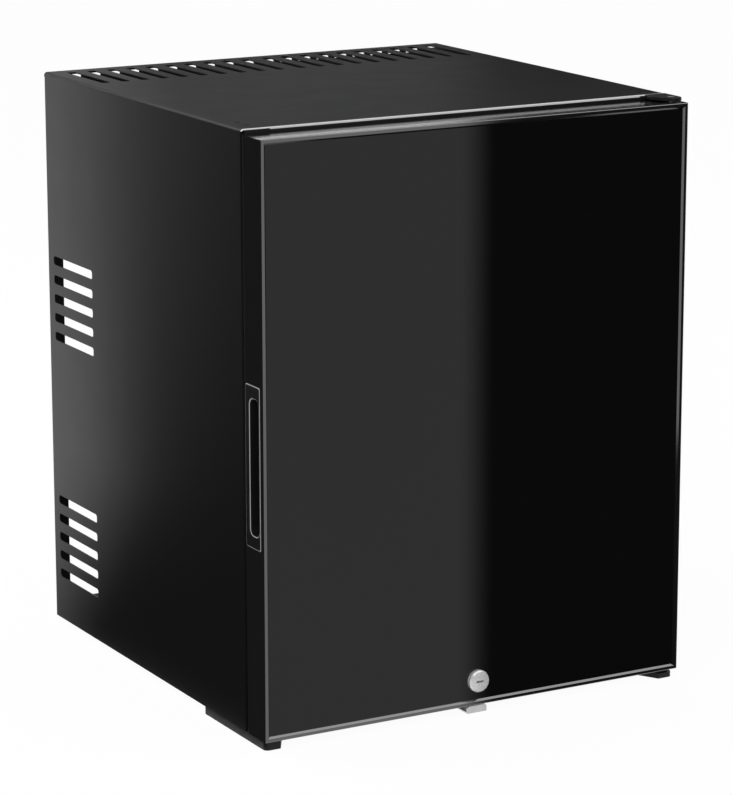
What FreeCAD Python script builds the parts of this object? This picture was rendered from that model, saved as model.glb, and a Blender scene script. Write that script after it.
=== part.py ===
import FreeCAD, Part
import math
import os
import re

import Sketcher

# A free-standing hotel minibar fridge of the absorption type, in millimetres.
# The origin is on the floor under the middle of the fridge, +Z is up, the door faces -Y and
# its hinge is on the +X side.

# Driving sizes, one cell each.
SIZES = {
    # Overall
    "overall_width": 400,
    "cabinet_height": 495,
    "cabinet_depth": 375.5,
    "foot_height": 8,
    "door_thickness": 31,
    "door_gap": 2.5,
    "door_top_drop": 4,
    # Clearances
    "seat_gap": 0.2,
    "running_gap": 0.05,
    "swing_gap": 1,
    "seal_gap": 0.3,
    # Folded steel panels
    "sheet_gauge": 1,
    "panel_bend": 3,
    "fold_radius": 1.2,
    "edge_round": 0.9,
    "rim_width": 26,
    "rear_flange": 14,
    "top_flange": 26,
    "seam_flange": 17,
    # Vent slots of the top and of the bay floor
    "top_slot_length": 75,
    "top_slot_width": 8,
    "top_slot_corner": 3,
    "top_slot_pitch": 18.85,
    "top_slot_first": 10.9,
    "top_slot_edge": 18,
    "floor_slot_edge": 90,
    "top_slot_margin": 13,
    # Short windows under the top's rear bend
    "window_width": 12.5,
    "window_height": 3.2,
    "window_drop": 3.6,
    "window_corner": 1,
    # Vent slots of the sides
    "side_slot_length": 80,
    "side_slot_height": 7.8,
    "side_slot_corner": 2.5,
    "side_slot_pitch": 17.05,
    "side_slot_count": 5,
    "side_slot_margin": 12,
    "lower_vent_rise": 39.4,
    "upper_vent_rise": 257.6,
    # Insulated box
    "bay_depth": 97,
    "side_wall": 34,
    "floor_wall": 36,
    "roof_wall": 38,
    "cavity_depth": 248,
    "liner_wall": 2,
    "liner_corner": 14,
    "liner_flange": 14,
    "frame_depth": 6,
    "frame_inset": 7,
    "frame_round": 2,
    "ledge_width": 8,
    "ledge_height": 5,
    "ledge_setback": 76,
    "shelf_drop": 45,
    "shelf_spacing": 127,
    # Wire shelves
    "rail_wire_radius": 2,
    "stretcher_radius": 1.6,
    "rung_radius": 1.3,
    "rung_count": 14,
    "shelf_setback": 79,
    "shelf_corner": 16,
    "shelf_side_gap": 2,
    # Cold plate
    "plug_inset": 10,
    "plug_width": 80,
    "plug_height": 60,
    "plug_drop": 49,
    "plug_stub": 3,
    "cold_inset": 16,
    "cold_width": 200,
    "cold_height": 90,
    "cold_drop": 20,
    "cold_plate": 5,
    "cold_fin_depth": 32,
    "cold_fin_gauge": 1.8,
    "cold_fin_count": 11,
    "tray_depth": 46,
    "tray_height": 13,
    "tray_wall": 1.6,
    "tray_drop": 8,
    "tray_overhang": 5,
    # Thermostat and lamp housing
    "housing_length": 116,
    "housing_height": 46,
    "housing_depth": 22,
    "housing_setback": 56,
    "housing_drop": 26,
    "housing_round": 5,
    "lens_length": 48,
    "lens_height": 22,
    "lens_depth": 3,
    "lens_inset": 12,
    "lens_corner": 5,
    "knob_radius": 14,
    "knob_height": 12,
    "knob_inset": 26,
    "knob_flutes": 12,
    "flute_radius": 2,
    "stem_radius": 3,
    "stem_length": 9,
    # Feet
    "skid_setback": 4,
    "skid_length": 108,
    "skid_outer": 2,
    "skid_tip": 16,
    "skid_inner": 29,
    "skid_taper": 22,
    "skid_round": 4,
    "rear_foot_radius": 15,
    "rear_foot_inset": 42,
    "foot_chamfer": 1,
    "screw_inset": 14,
    "screw_first": 14,
    "screw_spacing": 22,
    "screw_shank": 2,
    "screw_head": 4,
    "screw_head_height": 1.8,
    # Hinge
    "hinge_inset": 8,
    "hinge_setback": 14,
    "leaf_setback": 6,
    "leaf_root": 44,
    "leaf_gauge": 2.4,
    "leaf_round": 5,
    "cap_width": 21,
    "cap_side": 10,
    "cap_nose": 10,
    "cap_edge": 0.5,
    "cap_screw_first": 17,
    "cap_screw_spacing": 16,
    "cap_screw_head": 2,
    "cap_screw_height": 0.8,
    "cap_screw_shank": 1.5,
    "pin_radius": 3,
    "pin_length": 14,
    "bush_wall": 2.5,
    "bush_length": 12,
    # Door
    "rail_wall": 1.8,
    "rail_land": 3,
    "lip_width": 4.5,
    "lip_depth": 1.5,
    "rail_round": 0.7,
    "flange_depth": 23,
    "flange_width": 27,
    "glass_thickness": 4,
    "door_liner_wall": 2,
    "liner_lap": 3,
    "platform_inset": 42,
    "platform_end": 48,
    "platform_reach": 8.5,
    "platform_round": 4,
    "gasket_inset": 14,
    "gasket_width": 10,
    "gasket_corner": 4,
    "gasket_round": 2,
    # Handle
    "handle_rise": 158.5,
    "handle_height": 134.5,
    "handle_front": 5,
    "handle_width": 25.6,
    "handle_corner": 3,
    "grip_rise": 170,
    "grip_height": 112,
    "grip_front": 7.5,
    "grip_width": 15.2,
    "grip_depth": 20,
    "grip_wall": 1.5,
    "grip_corner": 5.5,
    "grip_round": 1,
    # Door racks
    "rack_inset": 14,
    "rack_depth": 58,
    "rack_wall": 2,
    "rack_corner": 10,
    "rack_dip": 14,
    "rack_dip_inset": 46,
    "rack_ledge": 9,
    "lower_rack_rise": 62,
    "lower_rack_height": 62,
    "upper_rack_rise": 262,
    "upper_rack_height": 50,
    # Lock and strike
    "lock_rise": 21,
    "lock_stand": 3.5,
    "bezel_radius": 9.4,
    "bezel_face": 8.3,
    "bezel_bevel": 1.6,
    "barrel_radius": 8,
    "plug_radius": 5.4,
    "keyhole_length": 7,
    "keyhole_width": 1.8,
    "keyhole_depth": 9,
    "nut_flats": 20,
    "nut_height": 3,
    "cam_reach": 26,
    "cam_width": 9,
    "cam_gauge": 2,
    "cam_hub": 7,
    "cam_clearance": 0.8,
    "tang_width": 5,
    "cam_screw_shank": 1.5,
    "cam_screw_grip": 6,
    "strike_width": 18.7,
    "strike_gauge": 1.5,
    "strike_setback": 1.6,
    "strike_drop": 7.4,
    "strike_riser": 3,
    "strike_foot": 30,
    "strike_round": 1,
    "strike_corner": 2,
    # Cooling unit
    "unit_offset": 50,
    "coil_offset": 66,
    "gas_offset": 24,
    "boiler_inset": 90,
    "boiler_radius": 32,
    "boiler_rise": 87,
    "boiler_height": 195,
    "boiler_bevel": 4,
    "heater_radius": 7,
    "heater_height": 16,
    "heater_shift": 14,
    "strap_gauge": 1.5,
    "strap_height": 16,
    "strap_rise": 120,
    "strap_tab": 20,
    "condenser_radius": 8,
    "condenser_drop": 62,
    "condenser_bend": 13,
    "condenser_entry": 15,
    "fin_size": 40,
    "fin_gauge": 0.8,
    "fin_pitch": 8,
    "fin_start": 38,
    "fin_end": 36,
    "coil_radius": 8,
    "coil_pitch": 34,
    "coil_runs": 5,
    "coil_rise": 172,
    "coil_inset": 50,
    "coil_clearance": 50,
    "coil_start": 18,
    "coil_end": 30,
    "tank_radius": 26,
    "tank_rise": 67,
    "tank_inset": 50,
    "tank_clearance": 75,
    "tank_bevel": 5,
    "gas_radius": 9,
    "gas_bend": 14,
    "gas_entry": 55,
    "gas_drop_run": 75,
    "solution_radius": 6,
    "solution_bend": 14,
    "bracket_gauge": 2,
    "bracket_foot": 16,
    "bracket_screw_shift": 9.6,
    "bracket_height": 40,
    "bracket_hole": 2,
    "condenser_bracket_inset": 20,
    "tank_bracket_right": 25,
    "tank_bracket_left": 15,
    "box_inset": 20,
    "box_width": 118,
    "box_height": 48,
    "box_setback": 8,
    "box_depth": 64,
    "box_wall": 2,
    "box_round": 3,
    "gland_inset": 24,
    "gland_flange": 10,
    "gland_body": 7,
    "gland_bore": 3.8,
    "gland_stand": 4,
    "gland_length": 14,
}

# Places worked out from the sizes.
PLACES = {
    "half": "overall_width / 2",
    "base": "foot_height",
    "top": "foot_height + cabinet_height",
    "front": "(lock_stand - door_thickness - door_gap - cabinet_depth) / 2",
    "door_back": "front + door_thickness",
    "cabinet_front": "door_back + door_gap",
    "rear": "cabinet_front + cabinet_depth",
    "door_top": "top - door_top_drop",
    "door_middle": "(base + door_top) / 2",
    "seam": "top - panel_bend - sheet_gauge",
    "bay": "rear - bay_depth",
    "cavity_half": "half - side_wall",
    "cavity_floor": "base + floor_wall",
    "cavity_roof": "top - roof_wall",
    "frame_back": "cabinet_front + sheet_gauge + frame_depth",
    "cavity_rear": "cabinet_front + cavity_depth",
    "cold_left": "cavity_half - cold_inset",
    "plug_left": "cold_left - plug_inset",
    "plug_top": "cavity_roof - plug_drop",
    "cold_top": "cavity_roof - cold_drop",
    "cold_low": "cold_top - cold_height",
    "tray_top": "cold_low - tray_drop",
    "upper_level": "tray_top - tray_height - shelf_drop",
    "lower_level": "upper_level - shelf_spacing",
    "housing_top": "cavity_roof - housing_drop",
    "housing_face": "cavity_half - housing_depth",
    "housing_start": "cabinet_front + housing_setback",
    "housing_middle": "housing_top - housing_height / 2",
    "knob_y": "housing_start + housing_length - knob_inset",
    "hinge_x": "half - hinge_inset",
    "hinge_y": "front + hinge_setback",
    "leaf_low": "door_top + swing_gap",
    "lower_leaf_top": "base - swing_gap",
    "leaf_inner": "half - rim_width + seat_gap",
    "leaf_outer": "half - panel_bend - seat_gap",
    "leaf_end": "cabinet_front + leaf_root",
    "bush_radius": "pin_radius + running_gap + bush_wall",
    "lip_back": "front + lip_depth",
    "glass_back": "lip_back + glass_thickness",
    "glass_edge": "rail_wall + seat_gap",
    "flange_front": "front + flange_depth",
    "flange_back": "flange_front + rail_wall",
    "liner_front": "flange_front - door_liner_wall",
    "liner_edge": "flange_width - liner_lap",
    "platform_half": "half - platform_inset",
    "rack_half": "platform_half - rack_inset",
    "platform_low": "base + platform_end",
    "platform_top": "door_top - platform_end",
    "platform_rear": "cabinet_front + platform_reach",
    "handle_low": "base + handle_rise",
    "handle_top": "handle_low + handle_height",
    "grip_low": "base + grip_rise",
    "grip_top": "grip_low + grip_height",
    "cup_depth": "grip_depth + grip_wall",
    "cup_low": "grip_low - grip_wall",
    "cup_top": "grip_top + grip_wall",
    "cup_front": "front + grip_front - grip_wall",
    "cup_rear": "front + grip_front + grip_width + grip_wall",
    "lock_z": "base + lock_rise",
    "nut_back": "glass_back + nut_height + seat_gap",
    "cam_front": "nut_back + seat_gap",
    "cam_back": "cam_front + cam_gauge",
    "strike_low": "base - strike_drop",
    "strike_lip": "front + strike_setback",
    "strike_rise": "cabinet_front + strike_riser",
    "strike_screw_y": "strike_rise + strike_foot - 2 * screw_head",
    "skid_front": "front + skid_setback",
    "unit_y": "bay + unit_offset",
    "coil_y": "bay + coil_offset",
    "gas_y": "bay + gas_offset",
    "boiler_x": "half - boiler_inset",
    "boiler_low": "base + boiler_rise",
    "boiler_top": "boiler_low + boiler_height",
    "condenser_z": "top - condenser_drop",
    "condenser_end": "condenser_entry - plug_left",
    "fin_first": "boiler_x - fin_start",
    "fin_count": "floor((fin_first - condenser_end - fin_end) / fin_pitch)",
    "coil_left": "half - coil_inset",
    "coil_right": "boiler_x - coil_clearance",
    "tank_left": "half - tank_inset",
    "tank_right": "boiler_x - tank_clearance",
    "gas_x": "gas_entry - plug_left",
    "box_left": "half - box_inset - box_width",
    "plug_middle": "plug_top - plug_height / 2",
    "plug_rear": "bay + plug_stub",
    "tank_z": "base + tank_rise",
    "box_low": "base + sheet_gauge",
    "box_front": "bay + box_setback",
    "box_rear": "box_front + box_depth",
    "gland_x": "box_left + box_width - gland_inset",
    "gland_z": "box_low + box_height / 2",
}

WORD = re.compile(r"[a-z][a-z_0-9]*")


def expand(formula):
    """Writes a formula of plain names as an expression on the sheet's cells."""
    def swap(match):
        word = match.group(0)
        if word in PLACES:
            return "(" + expand(PLACES[word]) + ")"
        if word in SIZES:
            return "dims." + word
        return word
    return WORD.sub(swap, str(formula))


doc = FreeCAD.newDocument("minibar")
dims = doc.addObject("Spreadsheet::Sheet", "dims")
for row, (size_name, size_value) in enumerate(SIZES.items(), start=1):
    dims.set(f"A{row}", size_name)
    dims.set(f"B{row}", str(size_value))
    dims.setAlias(f"B{row}", size_name)
doc.recompute()

pieces = []


def value(formula):
    """Gives the number that a formula stands for now."""
    return float(dims.evalExpression(expand(formula)))


def point(x, y, z):
    """Gives a point from three formulas."""
    return FreeCAD.Vector(value(x), value(y), value(z))


def bind(thing, name, formula):
    """Ties one property of a document object to the sheet."""
    thing.setExpression(name, expand(formula))


def place(thing, x=0, y=0, z=0, axis=None, angle=0):
    """Puts an object at a place given by formulas, turned about one axis."""
    if axis:
        turn = FreeCAD.Rotation(FreeCAD.Vector(*axis), angle)
        thing.Placement = FreeCAD.Placement(FreeCAD.Vector(), turn)
    for letter, formula in zip("xyz", (x, y, z)):
        bind(thing, f".Placement.Base.{letter}", formula)


# Closed outlines that a sketch can hold, as lists of formulas.

def poly(*corners):
    """A polygon through the given corners."""
    return ("poly", corners)


def rect(low_u, low_v, high_u, high_v):
    """A rectangle between two corners."""
    return poly((low_u, low_v), (high_u, low_v), (high_u, high_v), (low_u, high_v))


def rounded(low_u, low_v, high_u, high_v, radius):
    """A rectangle between two corners with round corners."""
    return ("rounded", (low_u, low_v, high_u, high_v, radius))


def circle(u, v, radius):
    """A circle about one point."""
    return ("circle", (u, v, radius))


class Piece:
    """One solid piece, built from sketches and features."""

    def __init__(self, name):
        self.body = doc.addObject("PartDesign::Body", name)
        self.body.Label = name
        self.origin = {part.Role: part for part in self.body.Origin.OriginFeatures}
        pieces.append(self.body)

    def sketch(self, plane, outlines, start):
        """Draws outlines on a plane at a distance along its axis."""
        sketch = self.body.newObject("Sketcher::SketchObject", "Sketch")
        sketch.AttachmentSupport = [(self.origin[plane + "_Plane"], "")]
        sketch.MapMode = "FlatFace"
        sign = "-" if plane == "XZ" else ""
        bind(sketch, ".AttachmentOffset.Base.z", f"{sign}({start})")
        for kind, numbers in outlines:
            if kind == "poly":
                self.draw_polygon(sketch, numbers)
            elif kind == "rounded":
                self.draw_rounded(sketch, *numbers)
            else:
                self.draw_circle(sketch, *numbers)
        return sketch

    @staticmethod
    def fix(sketch, geometry, end, u, v):
        """Holds one point of a sketch at a place given by formulas."""
        for kind, formula in (("DistanceX", u), ("DistanceY", v)):
            held = Sketcher.Constraint(kind, -1, 1, geometry, end, value(formula))
            number = sketch.addConstraint(held)
            bind(sketch, f"Constraints[{number}]", formula)

    def draw_polygon(self, sketch, corners):
        """Draws straight lines from corner to corner and closes them."""
        first = sketch.GeometryCount
        places = [point(u, v, 0) for u, v in corners]
        count = len(places)
        for i in range(count):
            sketch.addGeometry(Part.LineSegment(places[i], places[(i + 1) % count]), False)
        for i in range(count):
            joined = Sketcher.Constraint("Coincident", first + i, 2, first + (i + 1) % count, 1)
            sketch.addConstraint(joined)
        for i, (u, v) in enumerate(corners):
            self.fix(sketch, first + i, 1, u, v)

    def draw_rounded(self, sketch, low_u, low_v, high_u, high_v, radius):
        """Draws a rectangle whose corners are quarter circles."""
        first = sketch.GeometryCount
        sides = [
            ((f"{low_u} + ({radius})", low_v), (f"{high_u} - ({radius})", low_v)),
            ((high_u, f"{low_v} + ({radius})"), (high_u, f"{high_v} - ({radius})")),
            ((f"{high_u} - ({radius})", high_v), (f"{low_u} + ({radius})", high_v)),
            ((low_u, f"{high_v} - ({radius})"), (low_u, f"{low_v} + ({radius})")),
        ]
        centres = [
            (f"{high_u} - ({radius})", f"{low_v} + ({radius})"),
            (f"{high_u} - ({radius})", f"{high_v} - ({radius})"),
            (f"{low_u} + ({radius})", f"{high_v} - ({radius})"),
            (f"{low_u} + ({radius})", f"{low_v} + ({radius})"),
        ]
        quarter = math.pi / 2
        for i, (begin, end) in enumerate(sides):
            line = Part.LineSegment(point(*begin, 0), point(*end, 0))
            ring = Part.Circle(point(*centres[i], 0), FreeCAD.Vector(0, 0, 1), value(radius))
            sketch.addGeometry(line, False)
            sketch.addGeometry(Part.ArcOfCircle(ring, (i - 1) * quarter, i * quarter), False)
        for i, (begin, end) in enumerate(sides):
            line = first + 2 * i
            after = first + (2 * i + 2) % 8
            self.fix(sketch, line, 1, *begin)
            self.fix(sketch, line, 2, *end)
            sketch.addConstraint(Sketcher.Constraint("Coincident", line, 2, line + 1, 1))
            sketch.addConstraint(Sketcher.Constraint("Coincident", line + 1, 2, after, 1))
            number = sketch.addConstraint(Sketcher.Constraint("Radius", line + 1, value(radius)))
            bind(sketch, f"Constraints[{number}]", radius)

    def draw_circle(self, sketch, u, v, radius):
        """Draws a circle held by its centre and radius."""
        ring = Part.Circle(point(u, v, 0), FreeCAD.Vector(0, 0, 1), value(radius))
        number = sketch.addGeometry(ring, False)
        self.fix(sketch, number, 3, u, v)
        size = sketch.addConstraint(Sketcher.Constraint("Radius", number, value(radius)))
        bind(sketch, f"Constraints[{size}]", radius)

    def finish(self, feature):
        """Makes a new feature the piece's last one."""
        self.body.Tip = feature
        doc.recompute()
        return feature

    def pad(self, plane, start, depth, *outlines):
        """Adds material from a start, along the plane's axis."""
        drawing = self.sketch(plane, outlines, start)
        pad = self.body.newObject("PartDesign::Pad", "Pad")
        pad.Profile = drawing
        pad.Reversed = plane == "XZ"
        bind(pad, "Length", depth)
        return self.finish(pad)

    def pocket(self, plane, start, depth, *outlines):
        """Takes material away from a start, along the plane's axis."""
        before = self.body.Shape.Volume
        drawing = self.sketch(plane, outlines, start)
        pocket = self.body.newObject("PartDesign::Pocket", "Pocket")
        pocket.Profile = drawing
        pocket.Reversed = plane != "XZ"
        bind(pocket, "Length", depth)
        self.finish(pocket)
        if self.body.Shape.Volume >= before:
            raise RuntimeError(f"a pocket of {self.body.Label} cuts nothing")
        return pocket

    def revolve(self, *outlines):
        """Turns outlines, drawn as radius and height, about the Z axis."""
        drawing = self.sketch("XZ", outlines, 0)
        turned = self.body.newObject("PartDesign::Revolution", "Revolution")
        turned.Profile = drawing
        turned.ReferenceAxis = (drawing, ["V_Axis"])
        turned.Angle = 360
        return self.finish(turned)

    def row(self, feature, axis, spacing, count, backwards=False):
        """Repeats a feature in a straight row."""
        row = self.body.newObject("PartDesign::LinearPattern", "Row")
        row.Originals = [feature]
        row.Direction = (self.origin[axis + "_Axis"], [""])
        row.Reversed = backwards
        row.Mode = "Spacing"
        bind(row, "Offset", spacing)
        bind(row, "Occurrences", count)
        return self.finish(row)

    def ring(self, feature, count):
        """Repeats a feature round the Z axis."""
        ring = self.body.newObject("PartDesign::PolarPattern", "Ring")
        ring.Originals = [feature]
        ring.Axis = (self.origin["Z_Axis"], [""])
        ring.Angle = 360
        bind(ring, "Occurrences", count)
        return self.finish(ring)

    def pick(self, along, **near):
        """Names the edges along one axis, or round, whose middle is at the given places."""
        wanted = {letter: value(formula) for letter, formula in near.items()}
        names = []
        for number, edge in enumerate(self.body.Tip.Shape.Edges, start=1):
            if not runs(edge, along):
                continue
            middle = edge.BoundBox.Center
            if all(abs(getattr(middle, letter) - want) < 0.02 for letter, want in wanted.items()):
                names.append(f"Edge{number}")
        if not names:
            raise RuntimeError(f"no edge of {self.body.Label} at {near}")
        return names

    def fillet(self, radius, *choices):
        """Rounds the edges that the choices name."""
        names = []
        for along, near in choices:
            names += self.pick(along, **near)
        base = self.body.Tip
        rounding = self.body.newObject("PartDesign::Fillet", "Fillet")
        rounding.Base = (base, names)
        bind(rounding, "Radius", radius)
        return self.finish(rounding)


def runs(edge, along):
    """Says whether an edge is round, or straight along the named axis."""
    if along == "round":
        return isinstance(edge.Curve, Part.Circle)
    if not isinstance(edge.Curve, Part.Line):
        return False
    return abs(getattr(edge.tangentAt(edge.FirstParameter), along)) > 0.999


# Primitives and booleans

def block(name, x, y, z, length, width, height):
    """A box from its low corner."""
    box = doc.addObject("Part::Box", name)
    bind(box, "Length", length)
    bind(box, "Width", width)
    bind(box, "Height", height)
    place(box, x, y, z)
    return box


def cylinder(name, x, y, z, radius, height):
    """An upright cylinder from the centre of its lower end."""
    rod = doc.addObject("Part::Cylinder", name)
    bind(rod, "Radius", radius)
    bind(rod, "Height", height)
    place(rod, x, y, z)
    return rod


def fused(name, *parts):
    """Several objects as one."""
    whole = doc.addObject("Part::MultiFuse", name)
    whole.Shapes = list(parts)
    return whole


def cut(name, kept, *tools):
    """One object less the others, as a piece."""
    less = doc.addObject("Part::Cut", name)
    less.Base = kept
    less.Tool = tools[0] if len(tools) == 1 else fused(name + "_tools", *tools)
    less.Label = name
    return less


def keep(thing):
    """Marks an object as one of the pieces."""
    pieces.append(thing)
    return thing


def shaped(name, shape):
    """A piece whose shape is worked out from the sheet's values."""
    feature = doc.addObject("Part::Feature", name)
    feature.Label = name
    feature.Shape = shape
    return keep(feature)


# Bent tubes: straight runs joined by tangent arcs

def bent_wire(corners, bend):
    """A path through corners, each turned on an arc of one radius."""
    edges = []
    here = corners[0]
    for before, corner, after in zip(corners, corners[1:], corners[2:]):
        into = (corner - before).normalize()
        away = (after - corner).normalize()
        back = bend * math.tan(into.getAngle(away) / 2)
        begin = corner - into * back
        end = corner + away * back
        inward = (away - into).normalize()
        lift = bend / math.cos(into.getAngle(away) / 2) - bend
        middle = corner + inward * lift
        if (begin - here).Length > 1e-6:
            edges.append(Part.LineSegment(here, begin).toShape())
        edges.append(Part.Arc(begin, middle, end).toShape())
        here = end
    edges.append(Part.LineSegment(here, corners[-1]).toShape())
    return Part.Wire(edges)


def tube(corners, radius, bend):
    """A round bar along a bent path."""
    path = bent_wire(corners, bend)
    way = (corners[1] - corners[0]).normalize()
    end = Part.Wire(Part.Circle(corners[0], way, radius).toShape())
    return path.makePipeShell([end], True, False)


# Folded steel panels

def air_slots(panel, level, edge):
    """Two groups of slots over the rear bay, as many as fit up to an edge distance."""
    far = "rear - top_slot_margin"
    count = f"floor((half - {edge} - top_slot_first) / top_slot_pitch) + 1"
    for side, backwards in (("", False), ("-", True)):
        slot = panel.pocket(
            "XY", level, "sheet_gauge",
            rounded(f"{side}top_slot_first - top_slot_width / 2", f"{far} - top_slot_length",
                    f"{side}top_slot_first + top_slot_width / 2", far, "top_slot_corner"))
        panel.row(slot, "X", "top_slot_pitch", count, backwards)


def rear_windows(panel):
    """Short windows high in the rear flange, one behind each space between two slots."""
    high = "top - window_drop"
    low = f"{high} - window_height"
    reach = "window_width / 2"
    panel.pocket("XZ", "rear - sheet_gauge", "sheet_gauge",
                 rounded(f"-{reach}", low, reach, high, "window_corner"))
    count = "floor((half - top_slot_edge - top_slot_first) / top_slot_pitch)"
    for side, backwards in (("", False), ("-", True)):
        middle = f"{side}(top_slot_first + top_slot_pitch / 2)"
        window = panel.pocket(
            "XZ", "rear - sheet_gauge", "sheet_gauge",
            rounded(f"{middle} - {reach}", low, f"{middle} + {reach}", high, "window_corner"))
        panel.row(window, "X", "top_slot_pitch", count, backwards)


def top_panel():
    panel = Piece("top_panel")
    inner = "half - sheet_gauge"
    under = "top - sheet_gauge"
    panel.pad("XZ", "cabinet_front", "cabinet_depth", poly(
        ("-half", "seam"), ("-half", "top"), ("half", "top"), ("half", "seam"),
        (inner, "seam"), (inner, under), (f"-({inner})", under), (f"-({inner})", "seam")))
    panel.fillet("panel_bend", ("y", {"x": "-half", "z": "top"}), ("y", {"x": "half", "z": "top"}))
    panel.fillet("panel_bend - sheet_gauge", ("y", {"x": inner, "z": under}),
                 ("y", {"x": f"-({inner})", "z": under}))
    panel.fillet("edge_round", ("x", {"y": "cabinet_front", "z": "top"}))
    panel.pad("XZ", "cabinet_front", "sheet_gauge",
              rect("rim_width - half", "door_top - rim_width", "half - rim_width", under))
    panel.pad("XZ", "rear - sheet_gauge", "sheet_gauge",
              rect("rear_flange - half", "top - top_flange", "half - rear_flange", under))
    panel.pocket("XY", under, "sheet_gauge",
                 *[circle(x, y, "cap_screw_head + seat_gap") for x, y in hinge_screw_places()])
    air_slots(panel, under, "top_slot_edge")
    rear_windows(panel)


def side_panel(name, side):
    panel = Piece(name)
    outer = f"{side}half"
    inner = f"{side}(half - sheet_gauge)"
    rim = f"{side}(half - rim_width)"
    back = f"{side}(half - rear_flange)"
    lap = f"{side}(half - seam_flange)"
    rim_back = "cabinet_front + sheet_gauge"
    back_face = "rear - sheet_gauge"
    panel.pad("XY", "base", "seam - base", poly(
        (outer, "cabinet_front"), (rim, "cabinet_front"), (rim, rim_back), (inner, rim_back),
        (inner, back_face), (back, back_face), (back, "rear"), (outer, "rear")))
    panel.pad("XY", "seam - sheet_gauge", "sheet_gauge", rect(outer, rim_back, lap, back_face))
    panel.pocket("XY", "seam - sheet_gauge", "sheet_gauge", *hinge_screw_holes(side))
    panel.fillet("fold_radius", ("z", {"x": outer, "y": "cabinet_front"}),
                 ("z", {"x": outer, "y": "rear"}))
    web = "-half" if side else "half - sheet_gauge"
    far = "rear - side_slot_margin"
    for rise in ("lower_vent_rise", "upper_vent_rise"):
        slot = panel.pocket(
            "YZ", web, "sheet_gauge",
            rounded(f"{far} - side_slot_length", f"base + {rise}",
                    far, f"base + {rise} + side_slot_height", "side_slot_corner"))
        panel.row(slot, "Z", "side_slot_pitch", "side_slot_count")


def skid_screws():
    """The places of the screws that hold the front skids."""
    return [(f"{side}(half - screw_inset)", f"cabinet_front + screw_first + {i} * screw_spacing")
            for side in ("-", "") for i in range(2)]


def base_plate():
    plate = Piece("base_plate")
    sheet_front = "cabinet_front + sheet_gauge"
    plate.pad("XY", "base", "sheet_gauge",
              rect("sheet_gauge - half", sheet_front, "half - sheet_gauge", "rear - sheet_gauge"))
    plate.pad("XZ", "cabinet_front", "sheet_gauge",
              rect("rim_width - half", "base", "half - rim_width", "base + rim_width"))
    plate.pad("XZ", "rear - sheet_gauge", "sheet_gauge",
              rect("rear_flange - half", "base", "half - rear_flange", "base + rear_flange"))
    air_slots(plate, "base", "floor_slot_edge")
    strike_holes = [(x, "strike_screw_y") for x in strike_screw_places()]
    holes = [circle(x, y, "screw_shank + running_gap") for x, y in skid_screws() + strike_holes]
    plate.pocket("XY", "base", "sheet_gauge", *holes)


def back_plate():
    plate = Piece("back_plate")
    plate.pad("XZ", "bay - sheet_gauge", "sheet_gauge",
              rect("sheet_gauge - half", "base + sheet_gauge",
                   "half - sheet_gauge", "seam - sheet_gauge"))
    holes = [circle(x, level, "bracket_hole") for x, level in bracket_screw_places()]
    plate.pocket("XZ", "bay - sheet_gauge", "sheet_gauge", plug_hole(), *holes)


def plug_hole():
    """The hole that the evaporator plug passes through, with its clearance."""
    return rect("-plug_left - seat_gap", "plug_top - plug_height - seat_gap",
                "plug_width - plug_left + seat_gap", "plug_top + seat_gap")


# Insulated box

def front_frame():
    ring = Piece("front_frame")
    mouth = rounded("-cavity_half", "cavity_floor", "cavity_half", "cavity_roof", "liner_corner")
    rim_back = "cabinet_front + sheet_gauge"
    ring.pad("XZ", rim_back, "frame_depth",
             rect("frame_inset - half", "base + frame_inset",
                  "half - frame_inset", "seam - frame_inset"), mouth)
    ring.fillet("frame_round", ("x", {"y": rim_back, "z": "cavity_floor"}))


def inner_liner():
    liner = Piece("inner_liner")
    skin = "cavity_half + liner_wall"
    lap = "cavity_half + liner_flange"
    depth = "cavity_rear - frame_back"
    liner.pad("XZ", "frame_back", f"{depth} + liner_wall",
              rounded(f"-({skin})", "cavity_floor - liner_wall", skin, "cavity_roof + liner_wall",
                      "liner_corner + liner_wall"))
    liner.pad("XZ", "frame_back", "liner_wall",
              rounded(f"-({lap})", "cavity_floor - liner_flange", lap,
                      "cavity_roof + liner_flange", "liner_corner"))
    liner.pocket("XZ", "frame_back", depth,
                 rounded("-cavity_half", "cavity_floor", "cavity_half", "cavity_roof",
                         "liner_corner"))
    ledges = []
    for level in ("lower_level", "upper_level"):
        ledges.append(rect("-cavity_half", f"{level} - ledge_height",
                           "ledge_width - cavity_half", level))
        ledges.append(rect("cavity_half - ledge_width", f"{level} - ledge_height",
                           "cavity_half", level))
    liner.pad("XZ", "cabinet_front + ledge_setback", "cavity_depth - ledge_setback", *ledges)
    liner.pocket("XZ", "cavity_rear", "liner_wall", plug_hole())


def foam_insulation():
    start = "frame_back + liner_wall + seat_gap"
    skin = "liner_wall + seat_gap"
    outer = block("foam_block", "sheet_gauge - half", start, "base + sheet_gauge",
                  "overall_width - 2 * sheet_gauge", f"bay - sheet_gauge - ({start})",
                  "seam - base - 2 * sheet_gauge")
    hollow = block("foam_hollow", f"-cavity_half - ({skin})", start, f"cavity_floor - ({skin})",
                   f"2 * (cavity_half + {skin})", f"cavity_rear + {skin} - ({start})",
                   f"cavity_roof - cavity_floor + 2 * ({skin})")
    passage = block("foam_passage", "-plug_left - seat_gap", "cavity_rear",
                    "plug_top - plug_height - seat_gap", "plug_width + 2 * seat_gap",
                    "bay - cavity_rear", "plug_height + 2 * seat_gap")
    keep(cut("foam_insulation", outer, hollow, passage))


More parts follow.
